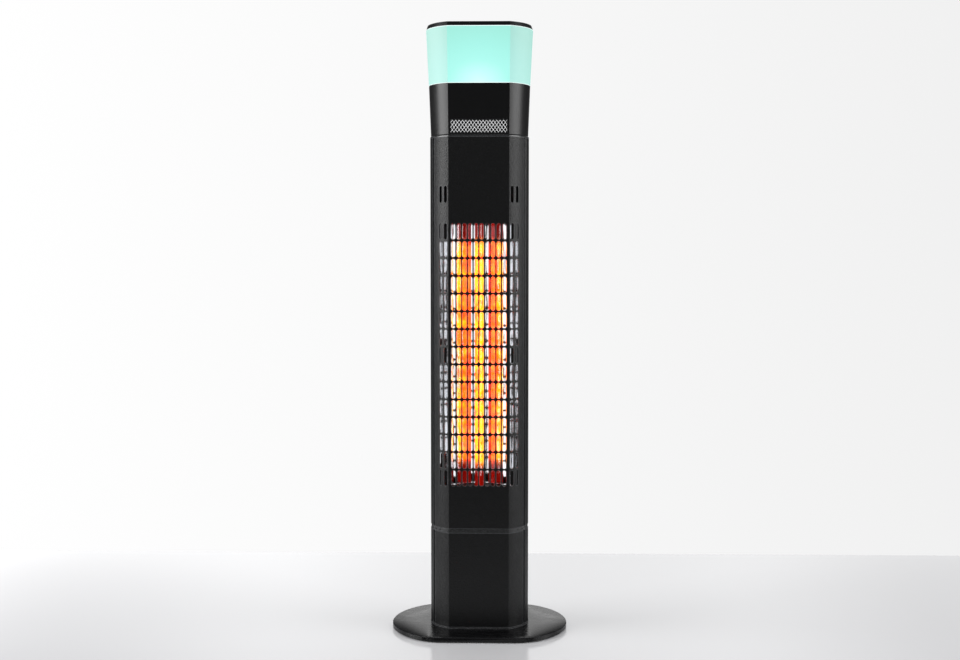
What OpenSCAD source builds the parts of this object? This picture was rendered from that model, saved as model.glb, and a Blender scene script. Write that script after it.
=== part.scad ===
// Free-standing infrared heater tower with a lit lantern head and a speaker.
// Millimetres, +Z up, origin on the floor under the middle of the base, front towards -Y.

/* [Column] */
// Width of the column across its round sides
column_w = 180; // [170:1:194]
// Depth of the column between its front and rear flats
column_d = 120; // [114:1:126]
// Width of the front and rear flats
facet_w = 109; // [104:1:113]
// Thickness of the steel skins
shell_t = 1.5; // [1.2:0.1:2]
// How far the front panel wraps round the sides, front to back
panel_wrap = 26; // [23:1:28]
// Width of the groove between front panel and rear shell
groove_w = 5.5; // [4:0.5:7]
// Depth of that groove below the skin
groove_depth = 4; // [3.5:0.1:4.5]

/* [Heights] */
// Height of the rubber feet below the base plate
foot_h = 2; // [1.5:0.1:3]
// Thickness of the base plate
base_t = 8; // [6:0.5:10]
// Height of the collar between plate and pedestal
collar_h = 2.5; // [2:0.1:3.5]
// Height of the pedestal skins
pedestal_h = 173; // [160:1:220]
// Height of the vent ring
ring_h = 8; // [7:0.5:10]
// Clear height inside, between the lamp's upper cap and the control board
lead_room = 21.2; // [20:0.2:60]
// Thickness of the trim plate on top of the column
trim_h = 3.5; // [3:0.1:5]
// Height of the head housing
head_h = 91; // [86:1:100]
// Height of the lit lantern
lantern_h = 100; // [80:1:130]
// Thickness of the top cap
cap_h = 7.5; // [6:0.5:10]

/* [Base plate] */
// Width of the base plate across its round sides
base_w = 322; // [304:1:340]
// Depth of the base plate between its flats
base_d = 237; // [224:1:250]
// Width of the flats at its front and back
base_flat_w = 169; // [150:1:176]
// Bevel along its upper edge
base_bevel = 1.2; // [0.8:0.1:2]
// Diameter of each rubber foot
foot_d = 22; // [18:1:26]
// Thread diameter of the bolts that hold the column
base_bolt_d = 6; // [5:0.5:7]

/* [Vent ring] */
// How far the ring sits behind the skins
ring_setback = 0.8; // [0.5:0.1:1.2]
// Diameter of its holes
ring_hole_d = 3; // [2:0.5:4]
// Spacing of its holes round each side, in degrees
ring_hole_step = 10.8; // [9:0.2:12]
// Holes to each side of the middle one
ring_holes = 4; // [2:1:4]

/* [Head] */
// How far the foot of the head sits inside the column's outline
head_in = 1.4; // [1:0.1:1.6]
// How far the top of the head stands outside it
head_out = 2; // [1.6:0.1:2.6]
// How far the top of the lantern stands outside it
lantern_out = 7; // [6:0.5:9]
// Wall of the moulded head and lantern
plastic_t = 2.5; // [2.2:0.1:2.8]
// Bevel round the edge of the top cap
cap_bevel = 2.6; // [2:0.1:3.5]
// Width of the speaker window
window_w = 101; // [92:1:102]
// Height of the speaker window
window_h = 23.5; // [20:0.5:26]
// Height of the window's sill above the foot of the head
window_sill = 3; // [2.5:0.5:5]

/* [Grille] */
// Width of one slot
slot_w = 7.7; // [6:0.1:8]
// Plain margin between the flat's edge and the first slot
slot_edge = 4.75; // [4:0.05:6]
// Slots across the front flat
slot_cols = 10; // [6:2:10]
// Spacing of the rows
row_pitch = 31.8; // [28:0.1:32]
// Rows of slots
rows = 15; // [8:1:15]
// Height of the bar between two rows
row_bar = 2.9; // [2.5:0.1:4.5]
// Height of the lowest slot above the vent ring
grille_low = 77.7; // [75:0.1:80]
// Round the side, from the flat's edge to the middle of the first slot
side_slot_first = 6.2; // [5.8:0.1:6.6]
// Spacing of the two side slots, measured round the side
side_slot_pitch = 11.4; // [10.5:0.1:11.6]
// Height of the side vents above the grille
vent_up = 36.7; // [33:0.1:60]
// Length of the side vents
vent_len = 30; // [24:1:36]
// Width of the side vents
vent_w = 6.6; // [5:0.1:7]

/* [Lamp] */
// Diameter of the quartz tube
lamp_d = 18; // [16:0.5:19]
// Length of the quartz tube beyond each end of the trough
lamp_over = 34; // [30:1:38]
// Wall of the quartz tube
lamp_wall = 1.2; // [1:0.1:1.6]
// Length of the dark end of the tube, at each side of the glowing coil
cold_end = 77; // [70:1:85]
// Diameter of the coil
filament_d = 4.4; // [3:0.2:6]
// Width of the ceramic end caps
lamp_cap_w = 24; // [22:0.5:26]
// Length of the ceramic end caps
lamp_cap_len = 28; // [24:1:30]

/* [Reflector] */
// Width of the flat back of the trough
trough_back_w = 32; // [28:1:36]
// Width where the trough's sides meet its wings
trough_mid_w = 92; // [86:1:98]
// Distance from the column's side in to the trough's edge
mouth_in = 16; // [16:1:22]
// Distance from the lamp's axis back to the trough
trough_back = 14; // [13:0.5:15]
// Slope of the trough's sides, in degrees
trough_slope = 35; // [32:1:38]
// Distance from the lamp's axis forward to the mouth
trough_front = 33; // [30:1:33]
// Thickness of the polished sheet
trough_t = 0.8; // [0.6:0.1:1.2]

/* [Frame] */
// Thickness of the inner sheet metal
frame_t = 1.2; // [1:0.1:1.4]
// Distance from the lamp's axis back to the heat shield
shield_back = 24; // [22:0.5:25]
// Width of each rail's flanges
rail_flange = 14; // [12:0.5:16]
// Distance from the flat's edge in to the rails
rails_in = 4.5; // [3.5:0.1:6]
// Thread diameter of the skin screws
screw_d = 4; // [3:0.5:5]

/* [Controls] */
// Height of the controls below the top of the column
controls_drop = 46; // [42:1:50]
// Width of the recess for the controls
bezel_w = 74; // [72:1:80]
// Depth of the recess for the controls
bezel_drop = 2; // [1.5:0.1:3]
// Length of the rocker
rocker_len = 22.6; // [21:0.2:23]
// Width of the rocker
rocker_w = 18; // [16:0.5:18.5]
// Angle that the rocker leans to each side, in degrees
rocker_tilt = 9; // [6:1:10]
// Diameter of the push buttons
button_d = 10; // [8:0.5:11]
// Travel of the push buttons
button_travel = 1.2; // [0.8:0.1:1.3]

/* [Speaker] */
// Diameter of the speaker's frame
speaker_d = 52; // [48:1:54]
// Depth of the speaker behind its flange
speaker_depth = 24; // [22:1:27]
// Height of the speaker's frame above the foot of the head
speaker_up = 6; // [5:0.5:9]
// Travel of the cone each way
cone_travel = 1.5; // [1:0.1:1.6]

/* [Tip-over switch] */
// Length of the pendulum from its pin to the middle of its weight
pendulum_len = 45; // [40:1:50]
// Diameter of the weight
bob_d = 18; // [14:1:20]
// Diameter of the pin
tilt_pin_d = 4; // [3:0.5:5]

/* [Hidden] */
$fn = 96;
// Gap left between parts that seat in each other
seat = 0.3;
// Overrun of every cut
cut = 1;
// Play between a pin and the bore that turns on it
pin_play = 0.05;

// Levels from the floor up, through the grille and the lamp to the top of the column
z_plate = foot_h + base_t;
z_pedestal = z_plate + collar_h;
z_ring = z_pedestal + pedestal_h;
z_heater = z_ring + ring_h;
z_grille = z_heater + grille_low;
slot_len = row_pitch - row_bar;
z_window_top = z_grille + rows * row_pitch - row_bar;
trough_over = 7;
z_trough_low = z_grille - trough_over;
z_trough_high = z_window_top + trough_over;
z_lamp_low = z_trough_low - lamp_over;
z_lamp_high = z_trough_high + lamp_over;
lamp_len = z_lamp_high - z_lamp_low;
cap_grip = 6;
z_caps_high = z_lamp_high - cap_grip + lamp_cap_len;
z_caps_low = z_lamp_low + cap_grip - lamp_cap_len;
board_h = 62;
board_edge = 8;
z_board = z_caps_high + lead_room;
z_trim = z_board + board_h + board_edge;
heater_h = z_trim - z_heater;
z_head = z_trim + trim_h;
z_lantern = z_head + head_h;
z_cap = z_lantern + lantern_h;
z_top = z_cap + cap_h;

// An outline of two flats joined by one arc on each side has its arcs' centres at plus and
// minus arc_x on the X axis, and an outline set in by a distance keeps those centres.
function arc_x(w, d, flat) = (w * w - d * d - flat * flat) / (4 * (w - flat));
function arc_r(w, d, flat) = w / 2 - arc_x(w, d, flat);
side_x = arc_x(column_w, column_d, facet_w);
side_r = arc_r(column_w, column_d, facet_w);
half_d = column_d / 2;
facet_angle = asin(half_d / side_r);
base_side_x = arc_x(base_w, base_d, base_flat_w);
base_side_r = arc_r(base_w, base_d, base_flat_w);

// Groove and lips of the two skins
panel_edge_y = -half_d + panel_wrap;
shell_edge_y = panel_edge_y + groove_w;
lip_in = groove_depth + shell_t;
lip_reach = 12;
hook_in = lip_in + seat;

// Slots across the front flat and two more round each side
slot_pitch = (facet_w - 2 * slot_edge - slot_w) / (slot_cols - 1);

// Lamp, trough and brackets, about the lamp's upright axis at the origin of X and Y
filament_len = lamp_len - 2 * cold_end;
disc_count = 9;
disc_t = 1;
trough_mouth_w = column_w - 2 * mouth_in;
trough_mid_y = trough_back - (trough_mid_w - trough_back_w) / 2 * tan(trough_slope);
lamp_hole_d = lamp_d + 4 * frame_t;
shield_in = 24;
shield_w = column_w - 2 * shield_in;
shield_over = 30;
z_shield_low = z_lamp_low - shield_over;
z_shield_high = z_lamp_high + shield_over;
shield_front = shield_back - frame_t;
bracket_over = 15;
bracket_w = trough_mid_w + 2 * bracket_over;
bracket_front = trough_front - trough_over;
bracket_tab_w = 40;
bracket_tab_h = 14;

// Rails stand on the base bracket and end under the trim plate
rails_w = facet_w - 2 * rails_in;
rail_back = half_d - shell_t;
bracket_floor_t = 3;
z_rails = z_plate + bracket_floor_t;
bracket_in = lip_in + shell_t + cut;
upstand_h = 60;
screw_x = (rails_w - rail_flange) / 2;
screw_head_d = 2 * screw_d;
screw_head_h = screw_d * 0.6;
screw_len = shell_t + frame_t + 3 * screw_d;
rear_screw_shares = [0.06, 0.5, 0.87];
pedestal_screw_shares = [0.2, 0.85];

// Rear vents
rear_slot_w = 5;
rear_slot_len = 24;
rear_slot_pitch = 11;
rear_slot_cols = 6;
rear_vent_shares = [0.1, 0.16, 0.78, 0.84];

// Gland for the supply lead, low on the back
gland_x = 20;
gland_up = 26;
gland_z = z_pedestal + gland_up;
gland_hole_d = 20;
gland_flange_d = 28;
gland_bore_d = 9;
gland_out = 9;
gland_in = 14;
gland_nut_t = 5;

// Bolts of the foot
bolt_x = 60;
bolt_y = 25;
bolt_head_d = 2.1 * base_bolt_d;
bolt_head_h = base_bolt_d / 2;
bolt_hole_d = base_bolt_d + 2 * seat;
nut_d = 2 * base_bolt_d;
nut_h = 0.8 * base_bolt_d;

// Rubber feet, as shares of the base plate's half width and half depth
foot_shares = [[0.82, 0], [0.48, 0.74], [0.48, -0.74]];

// Terminal block on the bracket's floor
block_w = 42;
block_d = 18;
block_h = 16;
block_behind = 10;
block_y = shield_back + block_behind;
pole_count = 3;
pole_d = 5;
pole_depth = 6;
pole_y = block_y - block_d / 4;

// Tip-over switch
tilt_x = -30;
tilt_plate_w = 30;
tilt_plate_t = 1.6;
tilt_foot_d = 22;
tilt_y = -8;
tilt_bob_gap = 14;
tilt_pin_up = pendulum_len + bob_d / 2 + tilt_bob_gap;
z_tilt_pin = z_rails + tilt_pin_up;
tilt_arm_w = 7;
tilt_arm_t = 2.5;
tilt_bob_t = 11;
tilt_gap = 1;
tilt_clip_d = 8;
tilt_clip_t = 1;
tilt_cam_r = 7;
micro_w = 20;
micro_d = 6.4;
micro_h = 10;
micro_button_d = 3;
micro_button_h = 1.2;
micro_edge = 5.5;
tilt_plate_h = tilt_pin_up + tilt_cam_r + seat + micro_button_h + micro_h + micro_edge;

// Control board and what it carries
board_t = 1.6;
board_over = 3;
board_w = rails_w - rail_flange + 2 * board_over;
board_post_d = 6;
board_post_h = 4;
board_back = shield_back - board_post_h;
relay_size = [16, 20, 15];
transformer_size = [26, 24, 20];
connector_size = [24, 8, 9];
capacitor_d = 10;
capacitor_len = 16;
// Places on the board, as shares of its width and height from its lower left corner
relay_shares = [[0.13, 0.48], [0.35, 0.48]];
transformer_shares = [0.61, 0.45];
connector_shares = [0.67, 0.19];
capacitor_shares = [0.2, 0.29];

// Loom up the back, and the leads of the lamp
loom_d = 8;
loom_y = block_y + loom_d / 2;
loom_bend = 12;
lead_d = 3;
lead_bend = 6;
cutout_d = 16;
cutout_h = 7;

// Control recess at the rear
z_controls = z_trim - controls_drop;
bezel_lip = 1.5;
bezel_lip_w = 3;
bezel_floor = 2;
bezel_wall = 2;
bezel_back = bezel_drop + bezel_floor;
rocker_pivot = 5;
rocker_proud = 1.5;
rocker_dip = 2;
rocker_skirt = 3;
rocker_root_w = 6;
rocker_root = 4;
rocker_pin_d = 3;
rocker_gap = 1.2;
rocker_side_gap = 0.4;
housing_wall = 1.6;
housing_len = rocker_len + 2 * (rocker_gap + housing_wall);
housing_w = rocker_w + 2 * (rocker_side_gap + housing_wall);
housing_depth = 26;
housing_lip = 1.6;
housing_lip_t = 1.2;
bezel_h = housing_len + 2 * (housing_lip + bezel_wall + 2 * seat);
recess_half_w = bezel_w / 2 - seat - bezel_wall;
rocker_x = housing_w / 2 + housing_lip + 2 * seat - recess_half_w;
button_edge = 8.4;
button_pitch = 17;
button_x2 = recess_half_w - button_edge;
button_x1 = button_x2 - button_pitch;
pocket_depth = 12;
button_gap = 0.25;
button_proud = 0.8;
button_flange = 1.4;
button_flange_t = 1.5;
button_rest_gap = 0.2;
tact_w = 6;
tact_gap = 0.3;
tact_h = 3.2;
button_back = bezel_back + button_rest_gap + button_flange_t;
tact_top = button_back + button_travel + tact_gap;
button_board_at = tact_top + tact_h;
button_board_w = 2 * button_pitch;
button_board_h = 22;
post_d = 4;

// Speaker, its baffle and its window
z_window = z_head + window_sill;
head_foot_h = 1;
head_foot_in = 0.6;
mesh_y = -(half_d - head_in) + seat;
mesh_t = 0.8;
mesh_back = mesh_y + mesh_t;
frame_lip = 1.4;
frame_front = -(half_d - head_in - head_foot_in - plastic_t) + seat;
frame_plate_t = 1.4;
frame_over = 2.5;
diamond_cols = 28;
diamond_rows = 7;
diamond_share = 0.68;
baffle_gap = 9.8;
baffle_y = frame_front + frame_plate_t + baffle_gap;
baffle_t = 3;
baffle_over = 5.5;
baffle_w = facet_w + 2 * baffle_over;
baffle_clear = 7;
z_speaker = z_head + speaker_up + speaker_d / 2;
flange_t = 1.5;
flange_w = 2;
cone_clear = 0.5;
cone_rim_r = speaker_d / 2 - flange_w - cone_clear;
surround_w = 4;
cone_mouth_r = cone_rim_r - surround_w;
cone_t = 0.5;
coil_r = 7.6;
coil_gap = 0.7;
magnet_d = 30;
magnet_t = 10;
basket_t = 1.2;
basket_arm_w = 7;
gap_depth = 8.6;
coil_reach = 6;

// Lighting tray under the lantern
tray_t = 2;
ledge_t = 2.5;
ledge_in = 7;
lantern_lip = 5;
lantern_flange_h = 2;
z_tray = z_lantern - lantern_lip - seat - tray_t - seat;
tray_clear = 1;
tray_in = plastic_t - head_out + tray_clear;
baffle_h = z_tray - ledge_t - z_head - baffle_clear;
led_board_t = 1.6;
led_board_w = 96;
led_board_d = 46;
led_w = 5;
led_h = 1.6;
led_cols = 6;
led_rows = 3;
led_pitch = 15;
cap_plug_h = 6;
cap_plug_t = 2;

// Two arcs' circles: joined where their centres stand apart, common where they cross over
module arcs(x, r) {
    if (x > 0) {
        for (s = [-1, 1]) translate([s * x, 0]) circle(r);
        square([2 * x, 2 * r], center = true);
    } else {
        intersection() {
            translate([x, 0]) circle(r);
            translate([-x, 0]) circle(r);
        }
    }
}

// Outline of the column, set in by a distance
module outline(inset = 0) {
    intersection() {
        arcs(side_x, side_r - inset);
        square([2 * column_w, column_d - 2 * inset], center = true);
    }
}

// Outline of the base plate
module base_outline(inset = 0) {
    intersection() {
        arcs(base_side_x, base_side_r - inset);
        square([2 * base_w, base_d - 2 * inset], center = true);
    }
}

// The same two arcs as cones, from one radius at their foot to another at their top
module cones(x, r0, r1, h) {
    if (x > 0) {
        for (s = [-1, 1]) translate([s * x, 0, 0]) cylinder(h = h, r1 = r0, r2 = r1);
        translate([-x, -2 * max(r0, r1), 0]) cube([2 * x, 4 * max(r0, r1), h]);
    } else {
        intersection() {
            translate([x, 0, 0]) cylinder(h = h, r1 = r0, r2 = r1);
            translate([-x, 0, 0]) cylinder(h = h, r1 = r0, r2 = r1);
        }
    }
}

// Solid whose outline goes from one inset at its foot to another at its top
module flared(x, r, half, z0, z1, inset0, inset1) {
    intersection() {
        translate([0, 0, z0]) cones(x, r - inset0, r - inset1, z1 - z0);
        rotate([90, 0, 90])
            linear_extrude(4 * (x + r), center = true)
                polygon([
                    [-(half - inset0), z0], [half - inset0, z0],
                    [half - inset1, z1], [-(half - inset1), z1]
                ]);
    }
}

module column_flare(z0, z1, inset0, inset1)
    flared(side_x, side_r, half_d, z0, z1, inset0, inset1);

// Strip of the plan between two depths
module band(y0, y1) translate([-column_w, y0]) square([2 * column_w, y1 - y0]);

// Wall of the plan between two insets
module wall(inset0, inset1) {
    difference() {
        outline(inset0);
        outline(inset1);
    }
}

module upright(z0, z1) translate([0, 0, z0]) linear_extrude(z1 - z0) children();

// Both hands of a shape that is drawn on the right
module both_sides() {
    children();
    mirror([1, 0, 0]) children();
}

// Shapes drawn in width and height, cut or built towards the front from a depth
module facing_front(y, depth) translate([0, y, 0]) rotate([90, 0, 0]) linear_extrude(depth) children();

// Local Z points straight out of the rear flat
module on_rear(x, z) translate([x, half_d, z]) rotate([-90, 0, 0]) children();

// Upright slot with round ends, drawn about its lower end
module slot(w, len) {
    translate([-w / 2, w / 2]) square([w, len - w]);
    translate([0, w / 2]) circle(w / 2);
    translate([0, len - w / 2]) circle(w / 2);
}

// Cutter through the right side at an angle from the side's middle towards the front
module through_side(angle) {
    translate([side_x, 0, 0])
        rotate([0, 0, -angle])
            translate([side_r - 2 * shell_t, 0, 0])
                rotate([90, 0, 90]) linear_extrude(4 * shell_t) children();
}

function side_slot_angle(k) =
    facet_angle - (side_slot_first + k * side_slot_pitch) / side_r * 180 / PI;

// Plan of a front skin: flat, wrapped sides and a turned-in edge at each groove
module front_skin() {
    intersection() {
        wall(0, shell_t);
        band(-column_d, panel_edge_y);
    }
    intersection() {
        wall(0, groove_depth - seat);
        band(panel_edge_y - shell_t, panel_edge_y);
    }
}

// Plan of a rear skin: a web and a lip step in behind the front skin's edge
module rear_skin() {
    intersection() {
        wall(0, shell_t);
        band(shell_edge_y, column_d);
    }
    intersection() {
        wall(0, lip_in);
        band(shell_edge_y, shell_edge_y + shell_t);
    }
    intersection() {
        wall(groove_depth, lip_in);
        band(panel_edge_y - lip_reach, shell_edge_y + shell_t);
    }
}

module skin_screw(x, z) {
    on_rear(x, z) {
        cylinder(d = screw_head_d, h = screw_head_h);
        translate([0, 0, -screw_len]) cylinder(d = screw_d, h = screw_len);
    }
}

module skin_screw_hole(x, z)
    on_rear(x, z) translate([0, 0, -screw_len]) cylinder(d = screw_d + 2 * pin_play, h = screw_len + cut);

module base_plate() {
    color("#161718") difference() {
        union() {
            translate([0, 0, foot_h]) linear_extrude(base_t - base_bevel) base_outline();
            flared(base_side_x, base_side_r, base_d / 2, z_plate - base_bevel, z_plate, 0, base_bevel);
        }
        for (x = [-bolt_x, bolt_x], y = [-bolt_y, bolt_y]) {
            translate([x, y, foot_h - cut]) cylinder(d = bolt_hole_d, h = base_t + 2 * cut);
            translate([x, y, foot_h - cut])
                cylinder(d = bolt_head_d + 2 * seat, h = bolt_head_h + seat + cut);
        }
    }
}

module rubber_feet() {
    color("#0c0c0c") for (s = [-1, 1], share = foot_shares)
        translate([s * share[0] * base_w / 2, share[1] * base_d / 2, 0])
            cylinder(d = foot_d, h = foot_h);
}

// Sheet tray inside the pedestal, with an upstand inside each rail
module base_bracket() {
    color("#9a9c9e") difference() {
        union() {
            upright(z_plate, z_rails) outline(bracket_in);
            both_sides()
                translate([rails_w / 2 - 2 * frame_t - seat, shield_back + 2 * frame_t, z_plate])
                    cube([frame_t, half_d - bracket_in - shield_back - 2 * frame_t, upstand_h]);
        }
        for (x = [-bolt_x, bolt_x], y = [-bolt_y, bolt_y])
            translate([x, y, z_plate - cut])
                cylinder(d = bolt_hole_d, h = bracket_floor_t + 2 * cut);
    }
}

module base_bolts() {
    color("#b4b6b8") for (x = [-bolt_x, bolt_x], y = [-bolt_y, bolt_y])
        translate([x, y, 0]) {
            translate([0, 0, foot_h]) cylinder(d = bolt_head_d, h = bolt_head_h);
            translate([0, 0, foot_h]) cylinder(d = base_bolt_d, h = z_rails + 2 * nut_h - foot_h);
            translate([0, 0, z_rails]) cylinder(d = nut_d, h = nut_h, $fn = 6);
        }
}

module foot_collar() {
    color("#1c1d1e") difference() {
        column_flare(z_plate, z_pedestal, -ring_setback, 0);
        upright(z_plate - cut, z_pedestal + cut) outline(bracket_in - seat);
    }
}

module pedestal_front() {
    color("#1b1c1d") upright(z_pedestal, z_ring) front_skin();
}

module pedestal_rear() {
    color("#1b1c1d") difference() {
        upright(z_pedestal, z_ring) rear_skin();
        for (x = [-screw_x, screw_x], share = pedestal_screw_shares)
            skin_screw_hole(x, z_pedestal + share * pedestal_h);
        on_rear(gland_x, gland_z) translate([0, 0, -shell_t - cut])
            cylinder(d = gland_hole_d + 2 * seat, h = shell_t + 2 * cut);
    }
}

module pedestal_screws() {
    color("#8d8f91") for (x = [-screw_x, screw_x], share = pedestal_screw_shares)
        skin_screw(x, z_pedestal + share * pedestal_h);
}

// Moulded gland: flange outside, threaded barrel inside, bore for the supply lead
module cable_gland() {
    color("#111111") on_rear(gland_x, gland_z) difference() {
        union() {
            cylinder(d1 = gland_flange_d, d2 = gland_flange_d - gland_out / 2, h = gland_out / 3);
            cylinder(d1 = gland_hole_d, d2 = gland_hole_d - gland_out / 2, h = gland_out);
            translate([0, 0, -gland_in]) cylinder(d = gland_hole_d, h = gland_in);
        }
        translate([0, 0, -gland_in - cut]) cylinder(d = gland_bore_d, h = gland_in + gland_out + 2 * cut);
    }
}

module gland_nut() {
    color("#1a1a1a") on_rear(gland_x, gland_z) translate([0, 0, -shell_t - gland_nut_t]) difference() {
        cylinder(d = gland_flange_d, h = gland_nut_t, $fn = 6);
        translate([0, 0, -cut]) cylinder(d = gland_hole_d + 2 * pin_play, h = gland_nut_t + 2 * cut);
    }
}

module terminal_block() {
    color("#e8e4d8") difference() {
        translate([-block_w / 2, block_y - block_d / 2, z_rails]) cube([block_w, block_d, block_h]);
        for (k = [0:pole_count - 1])
            translate([
                (k + 0.5) * block_w / pole_count - block_w / 2, pole_y,
                z_rails + block_h - pole_depth
            ])
                cylinder(d = pole_d, h = pole_depth + cut);
    }
}

// Folded bracket that stands on the foot's floor and carries the pendulum's pin
module tilt_bracket() {
    color("#a5a7a9") difference() {
        union() {
            translate([tilt_x - tilt_plate_w / 2, tilt_y, z_rails])
                cube([tilt_plate_w, tilt_plate_t, tilt_plate_h]);
            translate([tilt_x - tilt_plate_w / 2, tilt_y, z_rails])
                cube([tilt_plate_w, tilt_foot_d, tilt_plate_t]);
        }
        translate([tilt_x, tilt_y - cut, z_tilt_pin]) rotate([-90, 0, 0])
            cylinder(d = tilt_pin_d, h = tilt_plate_t + 2 * cut);
    }
}

module tilt_pin() {
    color("#c8cacc") translate([tilt_x, tilt_y, z_tilt_pin]) rotate([90, 0, 0]) {
        translate([0, 0, -tilt_plate_t])
            cylinder(d = tilt_pin_d, h = tilt_plate_t + tilt_bob_t + 2 * tilt_gap + tilt_clip_t);
        translate([0, 0, tilt_bob_t + 2 * tilt_gap]) cylinder(d = tilt_clip_d, h = tilt_clip_t);
    }
}

// Arm with a hub, a cam for the switch above the hub and a weight below it
module tilt_pendulum() {
    hub_d = tilt_pin_d + 2 * tilt_arm_t;
    color("#c9a24a") translate([tilt_x, tilt_y - tilt_gap, z_tilt_pin]) rotate([90, 0, 0]) difference() {
        union() {
            cylinder(d = hub_d, h = tilt_bob_t);
            intersection() {
                cylinder(r = tilt_cam_r, h = tilt_arm_t);
                translate([-tilt_arm_w / 2, 0, 0]) cube([tilt_arm_w, 2 * tilt_cam_r, tilt_arm_t]);
            }
            translate([-tilt_arm_w / 2, -pendulum_len, (tilt_bob_t - tilt_arm_t) / 2])
                cube([tilt_arm_w, pendulum_len, tilt_arm_t]);
            translate([0, -pendulum_len, 0]) cylinder(d = bob_d, h = tilt_bob_t);
        }
        translate([0, 0, -cut]) cylinder(d = tilt_pin_d + 2 * pin_play, h = tilt_bob_t + 2 * cut);
    }
}

module tilt_microswitch() {
    z_button = z_tilt_pin + tilt_cam_r + seat;
    color("#2b2b2b") {
        translate([tilt_x - micro_w / 2, tilt_y - micro_d, z_button + micro_button_h])
            cube([micro_w, micro_d, micro_h]);
        translate([tilt_x, tilt_y - tilt_gap - tilt_arm_t / 2, z_button])
            cylinder(d = micro_button_d, h = micro_button_h + cut);
    }
}

// Collar with a row of holes round each side and slots where the rails pass
module vent_ring() {
    color("#1d1e1f") difference() {
        upright(z_ring, z_heater) wall(ring_setback, lip_in);
        both_sides() {
            translate([rails_w / 2 - rail_flange - seat, shield_back - seat, z_ring - cut])
                cube([rail_flange + 2 * seat, rail_back - shield_back + 2 * seat, ring_h + 2 * cut]);
            for (k = [-ring_holes:ring_holes])
                translate([side_x, 0, (z_ring + z_heater) / 2])
                    rotate([0, 0, k * ring_hole_step])
                        translate([side_r - 2 * lip_in, 0, 0])
                            rotate([0, 90, 0]) cylinder(d = ring_hole_d, h = 3 * lip_in);
        }
    }
}

// Channels from the foot to the trim plate
module frame_rails() {
    color("#a8abad") difference() {
        both_sides() upright(z_rails, z_trim) difference() {
            translate([rails_w / 2 - rail_flange, shield_back])
                square([rail_flange, rail_back - shield_back]);
            translate([rails_w / 2 - rail_flange - cut, shield_back + frame_t])
                square([rail_flange - frame_t + cut, rail_back - shield_back - 2 * frame_t]);
        }
        for (x = [-screw_x, screw_x]) {
            for (share = pedestal_screw_shares)
                skin_screw_hole(x, z_pedestal + share * pedestal_h);
            for (share = rear_screw_shares)
                skin_screw_hole(x, z_heater + share * heater_h);
        }
        on_rear(0, z_controls) translate([-bezel_w / 2 - seat, -bezel_h / 2 - seat, -bezel_back - seat])
            cube([bezel_w + 2 * seat, bezel_h + 2 * seat, bezel_back + seat]);
    }
}

// Upright slots across the rear flat
module rear_vent(z) {
    translate([0, half_d + cut, z]) rotate([90, 0, 0]) linear_extrude(shell_t + 2 * cut)
        for (k = [0:rear_slot_cols - 1])
            translate([(k - (rear_slot_cols - 1) / 2) * rear_slot_pitch, 0])
                slot(rear_slot_w, rear_slot_len);
}

module rear_shell() {
    color("#1b1c1d") difference() {
        upright(z_heater, z_trim) rear_skin();
        for (x = [-screw_x, screw_x], share = rear_screw_shares)
            skin_screw_hole(x, z_heater + share * heater_h);
        for (share = rear_vent_shares) rear_vent(z_heater + share * heater_h);
        on_rear(0, z_controls) translate([-bezel_w / 2, -bezel_h / 2, -shell_t - cut])
            cube([bezel_w, bezel_h, shell_t + 2 * cut]);
    }
}

module rear_screws() {
    color("#8d8f91") for (x = [-screw_x, screw_x], share = rear_screw_shares)
        skin_screw(x, z_heater + share * heater_h);
}

// Wrapped panel with the slotted grille and the side vents
module front_panel() {
    color("#1b1c1d") difference() {
        upright(z_heater, z_trim) front_skin();
        facing_front(-half_d + shell_t + cut, shell_t + 2 * cut)
            for (k = [0:slot_cols - 1], j = [0:rows - 1])
                translate([(k - (slot_cols - 1) / 2) * slot_pitch, z_grille + j * row_pitch])
                    slot(slot_w, slot_len);
        both_sides() for (k = [0, 1]) {
            through_side(side_slot_angle(k)) for (j = [0:rows - 1])
                translate([0, z_grille + j * row_pitch]) slot(slot_w, slot_len);
            through_side(side_slot_angle(k))
                translate([0, z_window_top + vent_up]) slot(vent_w, vent_len);
        }
    }
}

// Tabs inside the panel that hook behind the rear shell's lips at three heights
module panel_hooks() {
    hook_y = panel_edge_y - lip_reach - seat;
    color("#141414") for (j = [0, floor(rows / 2), rows - 1])
        upright(z_grille + j * row_pitch, z_grille + j * row_pitch + slot_len) {
            intersection() {
                wall(shell_t, hook_in + shell_t);
                band(hook_y - 2 * shell_t, hook_y);
            }
            intersection() {
                wall(hook_in, hook_in + shell_t);
                band(hook_y - 2 * shell_t, hook_y + lip_reach);
            }
        }
}

// Folded trough: flat back, sloped sides and steep wings
function trough_line(y) = [
    [-trough_mouth_w / 2, y - trough_back - trough_front],
    [-trough_mid_w / 2, y - trough_back + trough_mid_y],
    [-trough_back_w / 2, y],
    [trough_back_w / 2, y],
    [trough_mid_w / 2, y - trough_back + trough_mid_y],
    [trough_mouth_w / 2, y - trough_back - trough_front]
];

module reflector() {
    back = trough_line(trough_back + trough_t);
    front = trough_line(trough_back);
    color("#e9eaec") upright(z_trough_low, z_trough_high)
        polygon(concat(front, [for (k = [len(back) - 1:-1:0]) back[k]]));
}

module heat_shield() {
    color("#b9bbbd") translate([-shield_w / 2, shield_front, z_shield_low])
        cube([shield_w, frame_t, z_shield_high - z_shield_low]);
}

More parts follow.
